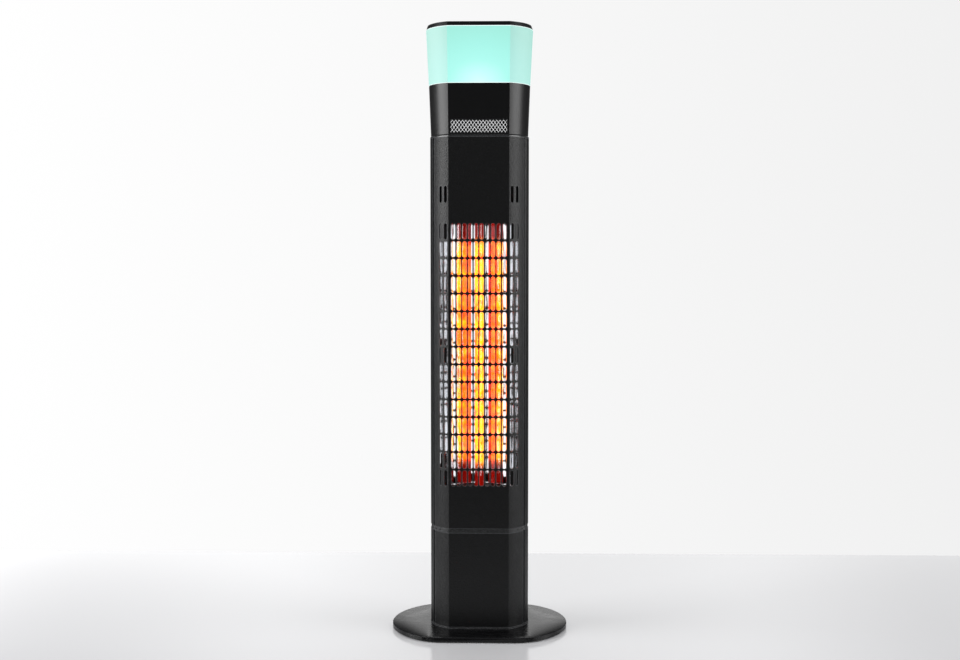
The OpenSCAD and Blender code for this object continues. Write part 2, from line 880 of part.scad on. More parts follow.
// End plate of the trough, with a tab on the heat shield
module reflector_bracket(z, up) {
    tab = up ? 0 : -bracket_tab_h;
    difference() {
        translate([-bracket_w / 2, -bracket_front, z])
            cube([bracket_w, bracket_front + shield_front, frame_t]);
        translate([0, 0, z - cut]) cylinder(d = lamp_hole_d, h = frame_t + 2 * cut);
    }
    translate([-bracket_tab_w / 2, shield_front - frame_t, z + tab])
        cube([bracket_tab_w, frame_t, bracket_tab_h + frame_t]);
}

module reflector_bracket_lower() {
    color("#222222") reflector_bracket(z_trough_low - seat - frame_t, false);
}

module reflector_bracket_upper() {
    color("#222222") reflector_bracket(z_trough_high + seat, true);
}

module lamp_tube() {
    color("#8a1d10") difference() {
        translate([0, 0, z_lamp_low]) cylinder(d = lamp_d, h = lamp_len);
        translate([0, 0, z_lamp_low + lamp_wall])
            cylinder(d = lamp_d - 2 * lamp_wall, h = lamp_len - 2 * lamp_wall);
    }
}

// Coil on its core, with discs that centre it in the tube and a lead to each end
module lamp_filament() {
    disc_d = lamp_d - 2 * lamp_wall - 2 * seat;
    wire_d = filament_d / 3;
    disc_pitch = (filament_len - disc_t) / (disc_count - 1);
    color("#ffb347") {
        translate([0, 0, z_lamp_low + cold_end]) cylinder(d = filament_d, h = filament_len);
        translate([0, 0, z_lamp_low + lamp_wall]) cylinder(d = wire_d, h = lamp_len - 2 * lamp_wall);
        for (k = [0:disc_count - 1])
            translate([0, 0, z_lamp_low + cold_end + k * disc_pitch]) cylinder(d = disc_d, h = disc_t);
    }
}

// Ceramic cap with a socket for the tube and a heel towards the heat shield
module lamp_cap(z, mouth_up) {
    socket_z = mouth_up ? z + lamp_cap_len - cap_grip - seat : z - cut;
    difference() {
        translate([-lamp_cap_w / 2, -lamp_cap_w / 2, z])
            cube([lamp_cap_w, lamp_cap_w / 2 + shield_front - frame_t - seat, lamp_cap_len]);
        translate([0, 0, socket_z]) cylinder(d = lamp_d + 2 * seat, h = cap_grip + seat + cut);
    }
}

module lamp_cap_lower() {
    color("#e9e3d6") lamp_cap(z_caps_low, true);
}

module lamp_cap_upper() {
    color("#e9e3d6") lamp_cap(z_lamp_high - cap_grip, false);
}

// Spring clip that grips a ceramic cap from the heat shield
module lamp_clip(z) {
    clip_h = lamp_cap_len / 2;
    clip_in = lamp_cap_w / 2 + seat;
    translate([0, 0, z + (lamp_cap_len - clip_h) / 2]) {
        translate([-clip_in - frame_t, shield_front - frame_t, 0])
            cube([2 * (clip_in + frame_t), frame_t, clip_h]);
        both_sides() translate([clip_in, -lamp_cap_w / 4, 0])
            cube([frame_t, shield_front + lamp_cap_w / 4, clip_h]);
    }
}

module lamp_clip_lower() {
    color("#c2c4c6") lamp_clip(z_caps_low);
}

module lamp_clip_upper() {
    color("#c2c4c6") lamp_clip(z_caps_high - lamp_cap_len);
}

// Quarter bend of a round lead, from upwards to backwards, starting at the origin
module bend(d, r) {
    translate([0, r, 0]) rotate([0, 90, 0]) rotate([0, 0, 180])
        rotate_extrude(angle = 90) translate([r, 0]) circle(d / 2);
}

// Leads from the caps to the board above and to the loom below
module lamp_leads() {
    rise = lead_room + board_edge - lead_bend;
    drop = 2 * lead_bend;
    color("#c8c2b0") {
        translate([0, 0, z_caps_high]) cylinder(d = lead_d, h = rise);
        translate([0, 0, z_caps_high + rise]) bend(lead_d, lead_bend);
        translate([0, lead_bend, z_caps_high + rise + lead_bend]) rotate([-90, 0, 0])
            cylinder(d = lead_d, h = board_back - board_t - lead_bend);
        translate([0, 0, z_caps_low - drop]) cylinder(d = lead_d, h = drop);
        translate([0, 0, z_caps_low - drop]) mirror([0, 0, 1]) bend(lead_d, lead_bend);
        translate([0, lead_bend, z_caps_low - drop - lead_bend]) rotate([-90, 0, 0])
            cylinder(d = lead_d, h = loom_y - loom_d / 2 - seat - lead_bend);
    }
}

module overheat_cutout() {
    color("#d8d2c2") translate([0, shield_back, z_trough_high - cutout_d]) rotate([-90, 0, 0])
        cylinder(d = cutout_d, h = cutout_h);
}

// Sleeved wires from the terminal block up to the control board
module wiring_loom() {
    z_from = z_rails + block_h;
    z_bend = z_board + board_h / 4 - loom_bend;
    color("#262626") {
        translate([0, loom_y, z_from]) cylinder(d = loom_d, h = z_bend - z_from);
        translate([0, loom_y, z_bend]) mirror([0, 1, 0]) bend(loom_d, loom_bend);
        translate([0, board_back, z_bend + loom_bend]) rotate([-90, 0, 0])
            cylinder(d = loom_d, h = loom_y - loom_bend - board_back);
    }
}

module control_board() {
    color("#1f5a35") difference() {
        translate([-board_w / 2, board_back - board_t, z_board]) cube([board_w, board_t, board_h]);
        board_post_places() translate([0, 0, -cut]) cylinder(d = screw_d, h = board_t + 2 * cut);
    }
}

// Places of the four posts, with local Z towards the front from the board's rear face
module board_post_places() {
    for (x = [-screw_x, screw_x], z = [z_board + board_edge, z_board + board_h - board_edge])
        translate([x, board_back, z]) rotate([90, 0, 0]) children();
}

// Posts, relays, transformer and connectors on the control board
module board_parts() {
    color("#2c4a86") {
        board_post_places() translate([0, 0, -board_post_h]) cylinder(d = board_post_d, h = board_post_h);
        for (share = relay_shares) on_board(share) board_block(relay_size);
        on_board(transformer_shares) board_block(transformer_size);
        on_board(connector_shares) board_block(connector_size);
        on_board(capacitor_shares) cylinder(d = capacitor_d, h = capacitor_len);
    }
}

// Local Z points forward from the front face of the control board, local Y is up
module on_board(share)
    translate([(share[0] - 0.5) * board_w, board_back - board_t, z_board + share[1] * board_h])
        rotate([90, 0, 0]) children();

module board_block(size) cube([size[0], size[1], size[2]]);

// Recessed frame in the rear flat, with places for the rocker and two buttons
module control_bezel() {
    body_w = bezel_w - 2 * seat;
    body_h = bezel_h - 2 * seat;
    color("#131313") on_rear(0, z_controls) difference() {
        union() {
            translate([-bezel_w / 2 - bezel_lip_w, -bezel_h / 2 - bezel_lip_w, 0])
                cube([bezel_w + 2 * bezel_lip_w, bezel_h + 2 * bezel_lip_w, bezel_lip]);
            translate([-body_w / 2, -body_h / 2, -bezel_back]) cube([body_w, body_h, bezel_back]);
            for (x = [-1, 1], y = [-1, 1])
                translate([
                    (button_x1 + button_x2) / 2 + x * (button_board_w - post_d) / 2,
                    y * (button_board_h - post_d) / 2, -button_board_at
                ])
                    cylinder(d = post_d, h = button_board_at - bezel_drop);
        }
        translate([-body_w / 2 + bezel_wall, -body_h / 2 + bezel_wall, -bezel_drop])
            cube([body_w - 2 * bezel_wall, body_h - 2 * bezel_wall, bezel_drop + bezel_lip + cut]);
        translate([rocker_x - housing_w / 2 - seat, -housing_len / 2 - seat, -bezel_back - cut])
            cube([housing_w + 2 * seat, housing_len + 2 * seat, bezel_back + 2 * cut]);
        for (x = [button_x1, button_x2]) translate([x, 0, -bezel_back - cut])
            cylinder(d = button_d + 2 * button_gap, h = bezel_back + 2 * cut);
    }
}

module button_board() {
    color("#1f5a35") on_rear((button_x1 + button_x2) / 2, z_controls) {
        translate([-button_board_w / 2, -button_board_h / 2, -button_board_at - board_t])
            cube([button_board_w, button_board_h, board_t]);
        for (x = [-1, 1])
            translate([x * (button_x2 - button_x1) / 2 - tact_w / 2, -tact_w / 2, -button_board_at])
                cube([tact_w, tact_w, tact_h]);
    }
}

module rocker_housing() {
    color("#0e0e0e") on_rear(rocker_x, z_controls) difference() {
        union() {
            translate([-housing_w / 2, -housing_len / 2, -housing_depth])
                cube([housing_w, housing_len, housing_depth - bezel_drop]);
            translate([-housing_w / 2 - housing_lip, -housing_len / 2 - housing_lip, -bezel_drop])
                cube([housing_w + 2 * housing_lip, housing_len + 2 * housing_lip, housing_lip_t]);
        }
        translate([-rocker_w / 2 - rocker_side_gap, -housing_len / 2 + housing_wall, -pocket_depth])
            cube([rocker_w + 2 * rocker_side_gap, housing_len - 2 * housing_wall, pocket_depth]);
        translate([-housing_w / 2 - cut, 0, -rocker_pivot]) rotate([0, 90, 0])
            cylinder(d = rocker_pin_d + 2 * pin_play, h = housing_w + 2 * cut);
    }
}

// Rocker with a shallow valley across its face and a pin through its root
module power_rocker() {
    half_len = rocker_len / 2;
    color("#a01812") on_rear(rocker_x, z_controls) translate([0, 0, -rocker_pivot])
        rotate([rocker_tilt, 0, 0]) {
            rotate([90, 0, 90]) linear_extrude(rocker_w, center = true) polygon([
                [-half_len, rocker_pivot + rocker_proud], [0, rocker_pivot + rocker_proud - rocker_dip],
                [half_len, rocker_pivot + rocker_proud], [half_len, rocker_pivot - rocker_skirt],
                [rocker_root_w / 2, -rocker_root], [-rocker_root_w / 2, -rocker_root],
                [-half_len, rocker_pivot - rocker_skirt]
            ]);
            translate([-housing_w / 2, 0, 0]) rotate([0, 90, 0])
                cylinder(d = rocker_pin_d, h = housing_w);
        }
}

module push_button(x) {
    on_rear(x, z_controls) {
        translate([0, 0, -bezel_back - button_rest_gap])
            cylinder(d = button_d, h = bezel_back + button_rest_gap - bezel_drop + button_proud);
        translate([0, 0, -button_back]) cylinder(d = button_d + 2 * button_flange, h = button_flange_t);
    }
}

module heat_button() {
    color("#3a3a3a") push_button(button_x1);
}

module light_button() {
    color("#3a3a3a") push_button(button_x2);
}

// Trim plate with a bevelled shoulder and a hole for the head's wires
module column_trim() {
    color("#202122") difference() {
        union() {
            upright(z_trim, z_head - head_in) outline();
            column_flare(z_head - head_in, z_head, 0, head_in);
        }
        translate([0, loom_y / 2, z_trim - cut]) cylinder(d = 2 * loom_d, h = trim_h + 2 * cut);
    }
}

// Flared shell with a rounded foot, the speaker window and a ledge for the lighting tray
module head_housing() {
    color("#17181a") difference() {
        union() {
            difference() {
                union() {
                    column_flare(z_head, z_head + head_foot_h, head_in + head_foot_in, head_in);
                    column_flare(z_head + head_foot_h, z_lantern, head_in, -head_out);
                }
                column_flare(
                    z_head - cut, z_lantern + cut,
                    head_in + plastic_t + head_foot_in, plastic_t - head_out
                );
            }
            upright(z_tray - ledge_t, z_tray) wall(plastic_t / 2 - head_out, ledge_in);
        }
        translate([-window_w / 2, -column_d, z_window]) cube([window_w, half_d + 3 * plastic_t, window_h]);
    }
}

// Black frame behind the window, with a lip that carries the mesh
module mesh_frame() {
    color("#0d0d0d") {
        translate([0, 0, z_window + window_h / 2]) {
            facing_front(frame_front + frame_plate_t, frame_plate_t)
                frame_ring(window_w + 2 * frame_over, window_h + 2 * window_sill);
            facing_front(frame_front, frame_front - mesh_back)
                frame_ring(window_w - 2 * seat, window_h - 2 * seat);
        }
    }
}

module frame_ring(w, h) {
    difference() {
        square([w, h], center = true);
        square([window_w - 2 * seat - 2 * frame_lip, window_h - 2 * seat - 2 * frame_lip], center = true);
    }
}

// Expanded sheet: rows of diamonds, each row shifted by half a diamond
module speaker_mesh() {
    w = window_w - 2 * seat;
    h = window_h - 2 * seat;
    pitch_x = w / (diamond_cols + 0.5);
    pitch_z = h / (diamond_rows + 1);
    color("#c9cbce") translate([0, 0, z_window + window_h / 2]) facing_front(mesh_back, mesh_t)
        difference() {
            square([w, h], center = true);
            for (k = [0:diamond_cols - 1], j = [0:diamond_rows - 1])
                translate([
                    (k - (diamond_cols - 1) / 2 + (j % 2 - 0.5) / 2) * pitch_x,
                    (j - (diamond_rows - 1) / 2) * pitch_z
                ])
                    diamond(pitch_x * diamond_share, 2 * pitch_z * diamond_share);
        }
}

module diamond(w, h) polygon([[-w / 2, 0], [0, -h / 2], [w / 2, 0], [0, h / 2]]);

// Board across the head that carries the driver
module speaker_baffle() {
    color("#1a1a1a") difference() {
        union() {
            translate([-baffle_w / 2, baffle_y, z_head]) cube([baffle_w, baffle_t, baffle_h]);
            translate([-baffle_w / 2, baffle_y, z_head]) cube([baffle_w, 4 * baffle_t, baffle_t]);
        }
        translate([0, baffle_y - cut, z_speaker]) rotate([-90, 0, 0])
            cylinder(r = cone_rim_r + seat, h = baffle_t + 2 * cut);
    }
}

// Driver parts are drawn with their axis upright, mouth up, flange face at zero
module driver() translate([0, baffle_y + baffle_t, z_speaker]) rotate([90, 0, 0]) children();

module speaker_basket() {
    rim = speaker_d / 2;
    back = -(speaker_depth - magnet_t);
    magnet_r = magnet_d / 2;
    neck = coil_r + 2 * coil_gap;
    deep = flange_t + cone_t + 2 * cone_travel;
    color("#55585b") driver() difference() {
        rotate_extrude() polygon([
            [rim - flange_w, 0], [rim, 0], [rim, -deep], [magnet_r, back], [neck, back],
            [neck, back + basket_t], [magnet_r - basket_t, back + basket_t], [rim - flange_w, -deep]
        ]);
        for (a = [0:90:270]) rotate([0, 0, a])
            translate([basket_arm_w / 2, basket_arm_w / 2, back + 2 * basket_t])
                cube([rim, rim, -back - 2 * basket_t - deep]);
    }
}

module speaker_magnet() {
    color("#3a3c3e") driver() translate([0, 0, -speaker_depth]) difference() {
        cylinder(d = magnet_d, h = magnet_t);
        translate([0, 0, magnet_t - gap_depth]) difference() {
            cylinder(r = coil_r + coil_gap, h = gap_depth + cut);
            translate([0, 0, -cut]) cylinder(r = coil_r - cone_t - coil_gap, h = gap_depth + 3 * cut);
        }
    }
}

// Cone with its surround, dust cap and coil former
module speaker_cone() {
    foot = -(speaker_depth - magnet_t) + 2 * cone_travel;
    top = -flange_t;
    color("#202020") driver() {
        rotate_extrude() polygon([
            [coil_r - cone_t, foot], [coil_r, foot], [cone_mouth_r, top - cone_t],
            [cone_rim_r, top - cone_t], [cone_rim_r, top], [cone_mouth_r - cone_t, top],
            [coil_r - cone_t, foot + 2 * cone_t]
        ]);
        rotate_extrude() translate([coil_r - cone_t, foot - 2 * cone_travel - coil_reach])
            square([cone_t, 2 * cone_travel + coil_reach + cone_t]);
        translate([0, 0, foot]) cylinder(r1 = coil_r - cone_t / 2, r2 = coil_r / 2, h = 2 * cone_t);
    }
}

// White tray that closes the head and throws the light up
module led_tray() {
    color("#f2f4f4") difference() {
        upright(z_tray, z_tray + tray_t) outline(tray_in);
        translate([0, loom_y, z_tray - cut]) cylinder(d = loom_d, h = tray_t + 2 * cut);
    }
}

module led_board() {
    color("#f0f0ea") translate([-led_board_w / 2, -led_board_d / 2, z_tray + tray_t])
        cube([led_board_w, led_board_d, led_board_t]);
}

module led_chips() {
    color("#fff3c0") for (k = [0:led_cols - 1], j = [0:led_rows - 1])
        translate([
            (k - (led_cols - 1) / 2) * led_pitch - led_w / 2,
            (j - (led_rows - 1) / 2) * led_pitch - led_w / 2,
            z_tray + tray_t + led_board_t
        ])
            cube([led_w, led_w, led_h]);
}

// Tapered lantern wall, with a flange and a lip that drops into the head
module diffuser() {
    lip_out = plastic_t - head_out + seat;
    color("#a8f4e6") {
        difference() {
            column_flare(z_lantern, z_cap, -head_out, -lantern_out);
            column_flare(z_lantern - cut, z_cap + cut, plastic_t - head_out, plastic_t - lantern_out);
        }
        upright(z_lantern, z_lantern + lantern_flange_h) wall(plastic_t / 2 - head_out, lip_out + plastic_t);
        upright(z_lantern - lantern_lip, z_lantern) wall(lip_out, lip_out + plastic_t);
    }
}

// Lid with a bevelled edge and a plug ring inside the lantern
module top_cap() {
    plug_out = plastic_t - lantern_out + seat + cap_plug_h * (lantern_out - head_out) / lantern_h;
    color("#121314") {
        difference() {
            column_flare(z_cap, z_top, -lantern_out, cap_bevel - lantern_out);
            upright(z_cap - cut, z_top - plastic_t) outline(plastic_t + cap_bevel - lantern_out);
        }
        upright(z_cap - cap_plug_h, z_top - plastic_t / 2) wall(plug_out, plug_out + cap_plug_t);
    }
}

base_plate();
rubber_feet();
base_bracket();
base_bolts();
foot_collar();
pedestal_front();
pedestal_rear();
pedestal_screws();
cable_gland();
gland_nut();
terminal_block();
tilt_bracket();
tilt_pin();
tilt_pendulum();
tilt_microswitch();
vent_ring();
frame_rails();
rear_shell();
rear_screws();
front_panel();
panel_hooks();
reflector();
heat_shield();
reflector_bracket_lower();
reflector_bracket_upper();
lamp_tube();
lamp_filament();
lamp_cap_lower();
lamp_cap_upper();
lamp_clip_lower();
lamp_clip_upper();
lamp_leads();
overheat_cutout();
wiring_loom();
control_board();
board_parts();
control_bezel();
button_board();
rocker_housing();
power_rocker();
heat_button();
light_button();
column_trim();
head_housing();
mesh_frame();
speaker_mesh();
speaker_baffle();
speaker_basket();
speaker_magnet();
speaker_cone();
led_tray();
led_board();
led_chips();
diffuser();
top_cap();
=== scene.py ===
# %% [markdown]
# # A free-standing infrared heater tower
# The object is a slim steel tower on a round foot. A wrapped front panel with fifteen rows of
# slots lets out the heat of one upright quartz lamp, and a flared head above it holds a small
# loudspeaker and a lit lantern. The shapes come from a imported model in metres, which stays
# exactly where it is: this lesson gives every part its finish, and replaces the few parts whose
# fine shape matters more than their outline.

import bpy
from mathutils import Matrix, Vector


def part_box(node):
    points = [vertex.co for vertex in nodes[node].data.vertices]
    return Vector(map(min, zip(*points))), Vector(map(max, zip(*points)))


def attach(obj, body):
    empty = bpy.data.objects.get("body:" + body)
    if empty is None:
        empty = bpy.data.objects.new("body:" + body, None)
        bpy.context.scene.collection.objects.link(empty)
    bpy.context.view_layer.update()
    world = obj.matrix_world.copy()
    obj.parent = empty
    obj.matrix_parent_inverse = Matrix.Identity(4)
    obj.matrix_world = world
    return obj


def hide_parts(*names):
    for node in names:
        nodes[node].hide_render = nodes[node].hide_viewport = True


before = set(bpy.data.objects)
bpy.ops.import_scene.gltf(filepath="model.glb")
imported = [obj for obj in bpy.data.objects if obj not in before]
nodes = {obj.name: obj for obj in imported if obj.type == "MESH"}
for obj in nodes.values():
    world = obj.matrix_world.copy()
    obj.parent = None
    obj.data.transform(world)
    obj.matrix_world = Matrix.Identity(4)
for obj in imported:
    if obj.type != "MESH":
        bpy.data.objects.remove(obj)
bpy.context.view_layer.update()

# %% The tools of the lesson
import math

import bmesh
import bpy
from mathutils import Matrix, Vector, noise

MM = 0.001

# %% [markdown]
# ## Camera
# The photograph was taken from about 2.5 m away and 0.7 m above the floor, looking slightly down
# and a little to the left. A lens of 51 mm on a 36 mm sensor gives the same framing. A camera is
# placed by numbers here, because a tracked camera would move if the object ever changed.

# %% Place the camera
LOOK_DOWN, LOOK_LEFT = 0.0604, 0.0251
lens = bpy.data.cameras.new("studio_camera")
lens.sensor_width = 36
lens.lens = 51.1
camera = bpy.data.objects.new("studio_camera", lens)
bpy.context.scene.collection.objects.link(camera)
camera.location = (0.0635, -2.5003, 0.7019)
camera.rotation_euler = (math.pi / 2 - LOOK_DOWN, 0, LOOK_LEFT)
bpy.context.scene.camera = camera
bpy.context.scene.view_settings.view_transform = "Standard"
print(f"camera {camera.location.length:.2f} m from the foot")

# %% [markdown]
# ## Helpers for materials
# Every colour is written as the sRGB hex value that a colour picker shows. Shader sockets want
# linear light, so one function turns the one into the other. A second function adds a node, sets
# its values and links its inputs, which keeps each material short enough to read at once. A third
# starts a material on the shader that Blender gives it, and a fourth sets the stops of a colour
# ramp. The Mix node has a set of sockets for every kind of data, all with the same names, so the
# ones used here are reached by number and the numbers get names.

# %% Colour, node and material helpers
FACTOR, FLOAT_A, FLOAT_B, COLOUR_A, COLOUR_B = 0, 2, 3, 6, 7
FLOAT_OUT, COLOUR_OUT = 0, 2


def linear(code):
    parts = [int(code[i:i + 2], 16) / 255 for i in (1, 3, 5)]
    return tuple(c / 12.92 if c <= 0.04045 else ((c + 0.055) / 1.055) ** 2.4 for c in parts) + (1.0,)


def add(tree, kind, values=(), links=()):
    made = tree.nodes.new(kind)
    for key, value in dict(values).items():
        if isinstance(key, str) and hasattr(made, key):
            setattr(made, key, value)
        else:
            made.inputs[key].default_value = value
    for key, socket in dict(links).items():
        tree.links.new(socket, made.inputs[key])
    return made


def start_material(name, colour, **values):
    made = bpy.data.materials.new(name)
    made.use_nodes = True
    tree = made.node_tree
    shader = tree.nodes["Principled BSDF"]
    shader.inputs["Base Color"].default_value = linear(colour)
    for key, value in values.items():
        shader.inputs[key.replace("_", " ")].default_value = value
    return made, tree, shader


def ramp_stops(made, stops):
    ramp = made.color_ramp
    while len(ramp.elements) < len(stops):
        ramp.elements.new(0.5)
    for element, (place, colour) in zip(ramp.elements, stops):
        element.position = place
        element.color = linear(colour)


print("grey card", [round(c, 3) for c in linear("#808080")])

# %% [markdown]
# ## Grain, dimples and softened edges
# Powder coat, moulded plastic and cast metal all owe their look to a small random relief. One
# helper reads the object's own coordinates, so the pattern stays on the part, and takes the size
# of the grain in millimetres. Real edges are never knife sharp either: the Bevel node bends the
# normal near an edge, as if it were rounded, and leaves the imported shape alone. Ambient Occlusion
# that looks inwards finds the outer edges. The helper gives back the coordinates, the grain and a
# number that rises to 1 on such an edge, so that colour may use them: a second helper paints a pale
# colour there, a painted highlight for the light that a rounded edge catches.
# Charged powder hardly reaches into a groove or a small hole, so the film there is thin and dead
# matt: Ambient Occlusion that looks outwards finds those places. The last helper gives a finished
# material to the parts that wear it.

# %% A random relief of a given size
EDGE_SAMPLES = 6


def relief(tree, shader, size_mm, height_mm, detail=2.0, edge_mm=0.0):
    place = add(tree, "ShaderNodeTexCoord")
    grain = add(tree, "ShaderNodeTexNoise", {"Scale": 1000 / size_mm, "Detail": detail},
                {"Vector": place.outputs["Object"]})
    bump = add(tree, "ShaderNodeBump", {"Strength": 1.0, "Distance": height_mm * MM},
               {"Height": grain.outputs["Fac"]})
    tree.links.new(bump.outputs["Normal"], shader.inputs["Normal"])
    edge = None
    if edge_mm:
        rounded = add(tree, "ShaderNodeBevel", {"samples": EDGE_SAMPLES, "Radius": edge_mm * MM})
        inward = add(tree, "ShaderNodeAmbientOcclusion",
                     {"inside": True, "only_local": True, "samples": EDGE_SAMPLES, "Distance": edge_mm * MM})
        edge = add(tree, "ShaderNodeMapRange", {"From Min": 0.95, "From Max": 0.6},
                   {"Value": inward.outputs["AO"]})
        tree.links.new(rounded.outputs["Normal"], bump.inputs["Normal"])
    return place, grain, edge


# Painted highlight: mixes a pale colour into the base colour where the edge mask rises, for the light a
# rounded edge catches.
def paint_edge_highlight(tree, shader, colour, edge, highlight_colour):
    highlighted = add(tree, "ShaderNodeMix", {"data_type": "RGBA", COLOUR_B: linear(highlight_colour)},
               {FACTOR: edge.outputs[0], COLOUR_A: colour})
    tree.links.new(highlighted.outputs[COLOUR_OUT], shader.inputs["Base Color"])


def starve_hollows(tree, shader, reach_mm, plain):
    sky = add(tree, "ShaderNodeAmbientOcclusion", {"samples": EDGE_SAMPLES, "Distance": reach_mm * MM})
    matt = add(tree, "ShaderNodeMapRange",
               {"From Min": 0.55, "From Max": 0.85, "To Min": 1.0, "To Max": plain},
               {"Value": sky.outputs["AO"]})
    tree.links.new(matt.outputs["Result"], shader.inputs["Roughness"])


def dress(material, slot, *names):
    for name in names:
        part = nodes[name]
        part.data.materials.clear()
        part.data.materials.append(material)
    print(f"{material.name}: {len(names)} parts")


# %% [markdown]
# ## Black powder coat
# The skins are steel sheet with a polyester powder coat. The powder melts into a fine pebbled
# film: black, half matt, with a sparkle where single grains catch the light. The real grain is
# about half a millimetre, finer than one dot of the picture, so it is drawn about 2.6 mm wide
# to show at all. A little of the grain goes into the tone, the rest into the relief.

# %% Powder coat on the skins
coat, tree, shader = start_material("powder_coat_fine_black", "#101112", Roughness=0.42, IOR=1.45)
_, grain, edge = relief(tree, shader, 2.6, 0.9, 3.0, 0.8)
tone = add(tree, "ShaderNodeValToRGB", {}, {"Fac": grain.outputs["Fac"]})
ramp_stops(tone, [(0.34, "#09090a"), (0.52, "#0d0e0f"), (0.68, "#141517")])
# Painted highlight: pale #5c5d60 on the outer edges of the skins, for the light lines that rounded edges
# catch.
paint_edge_highlight(tree, shader, tone.outputs["Color"], edge, "#5c5d60")
starve_hollows(tree, shader, 8, 0.42)
dress(coat, "powder_coat", "front_panel", "rear_shell", "pedestal_front", "pedestal_rear", "foot_collar")

# %% [markdown]
# The ring with the air holes and the thin plate on top of the column are pressed from thicker
# strip. Their coat lies thinner and smoother, so the ring reads as a paler band with dark holes. A
# painted highlight along the outer edges of both gives the bevelled shoulder of the top plate its
# pale line.

# %% Smoother coat on the strips
strip_coat, tree, shader = start_material("powder_coat_on_strip", "#17181a", Roughness=0.26, IOR=1.7)
_, grain, edge = relief(tree, shader, 2.4, 0.05, 2.0, 0.7)
tone = add(tree, "ShaderNodeValToRGB", {}, {"Fac": grain.outputs["Fac"]})
ramp_stops(tone, [(0.34, "#1f2021"), (0.68, "#2e2f30")])
# Painted highlight: #3a3b3e on the outer edges of the ring and the trim, for the pale line on the shoulder.
paint_edge_highlight(tree, shader, tone.outputs["Color"], edge, "#3a3b3e")
starve_hollows(tree, shader, 5, 0.26)
dress(strip_coat, "powder_coat", "vent_ring", "column_trim")

# %% [markdown]
# ## Satin plastic of the head
# The head and the lid are moulded in black ABS with a spark-eroded texture, which is finer than
# powder coat and shinier. Soft boxes beside the tower draw one clear band along each side.

# %% Moulded ABS
abs_black, tree, shader = start_material("moulded_abs_satin", "#0a0a0b", Roughness=0.34, IOR=1.5)
_, grain, edge = relief(tree, shader, 1.8, 0.035, 2.0, 0.9)
spread = add(tree, "ShaderNodeMapRange", {"From Min": 0.3, "From Max": 0.7, "To Min": 0.28, "To Max": 0.4},
             {"Value": grain.outputs["Fac"]})
tree.links.new(spread.outputs["Result"], shader.inputs["Roughness"])
tint = add(tree, "ShaderNodeValToRGB", {}, {"Fac": grain.outputs["Fac"]})
ramp_stops(tint, [(0.3, "#060607"), (0.7, "#0b0b0d")])
# Painted highlight: #3c3d40 on the outer edges of the head and the lid.
paint_edge_highlight(tree, shader, tint.outputs["Color"], edge, "#3c3d40")
dress(abs_black, "satin_abs", "head_housing", "top_cap")

# %% [markdown]
# ## Opal lantern
# The lantern is an acrylic shell, tinted mint by the light below it. LEDs on a tray at its foot
# throw most of their light on the lower middle, so the shell is palest there and falls to a
# deeper mint towards the top and the corners. The fall is worked out from the height over the tray
# and from the way to the left or right of its middle. The rounded sides are thicker and let out
# less. Where the shell meets the lid and the head its cut edge gathers the light, as acrylic does,
# and shows as a thin white line.

# %% Lit acrylic
seam_low, seam_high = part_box("head_housing")[1].z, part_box("diffuser")[1].z
CAP_LINE, HEAD_LINE, LINE_FADE, PALEST, DEEPEST = (v * MM for v in (1.6, 1.5, 0.4, 4, 100))
opal, tree, shader = start_material("opal_acrylic_lit", "#959595", Roughness=0.6, IOR=1.49)
place = add(tree, "ShaderNodeTexCoord")
centred = add(tree, "ShaderNodeMapping", {"Location": (0, 0, -seam_low), "Scale": (0.75, 0, 1.0)},
              {"Vector": place.outputs["Object"]})
reach = add(tree, "ShaderNodeVectorMath", {"operation": "LENGTH"}, {0: centred.outputs["Vector"]})
fall = add(tree, "ShaderNodeMapRange", {"From Min": PALEST, "From Max": DEEPEST},
           {"Value": reach.outputs["Value"]})
glow = add(tree, "ShaderNodeValToRGB", {}, {"Fac": fall.outputs["Result"]})
ramp_stops(glow, [(0.0, "#aceee7"), (0.18, "#93e6dc"), (0.38, "#71dcce"), (0.66, "#65d4c4"),
                  (1.0, "#5bcab7")])
parts = add(tree, "ShaderNodeSeparateXYZ", {}, {"Vector": place.outputs["Object"]})
under_cap = add(tree, "ShaderNodeMapRange",
                {"From Min": seam_high - CAP_LINE, "From Max": seam_high - LINE_FADE},
                {"Value": parts.outputs["Z"]})
over_head = add(tree, "ShaderNodeMapRange",
                {"From Min": seam_low + HEAD_LINE, "From Max": seam_low + LINE_FADE},
                {"Value": parts.outputs["Z"]})
rim = add(tree, "ShaderNodeMath", {"operation": "ADD", "use_clamp": True},
          {0: under_cap.outputs["Result"], 1: over_head.outputs["Result"]})
lit_edge = add(tree, "ShaderNodeMix", {"data_type": "RGBA", COLOUR_B: linear("#e9fffc")},
               {FACTOR: rim.outputs["Value"], COLOUR_A: glow.outputs["Color"]})
relief(tree, shader, 4.0, 0.01)
tree.links.new(lit_edge.outputs[COLOUR_OUT], shader.inputs["Emission Color"])
turned = add(tree, "ShaderNodeSeparateXYZ", {}, {"Vector": place.outputs["Normal"]})
front_on = add(tree, "ShaderNodeMath", {"operation": "ABSOLUTE"}, {0: turned.outputs["Y"]})
leaves = add(tree, "ShaderNodeMapRange", {"From Min": 0.9, "From Max": 0.98, "To Min": 0.7},
             {"Value": front_on.outputs["Value"]})
tree.links.new(leaves.outputs["Result"], shader.inputs["Emission Strength"])
dress(opal, "opal_lantern", "diffuser")
print(f"lit shell from {seam_low / MM:.0f} to {seam_high / MM:.0f} mm")

# %% [markdown]
# ## Zinc-plated sheet, screws and brass
# Inside the skins everything is plain zinc-plated sheet. Zinc is a soft bluish grey metal with a
# faint cloudy pattern of crystals. Screws are zinc-plated as well, but turned and tumbled, so
# they are brighter. The pendulum's weight is turned brass.

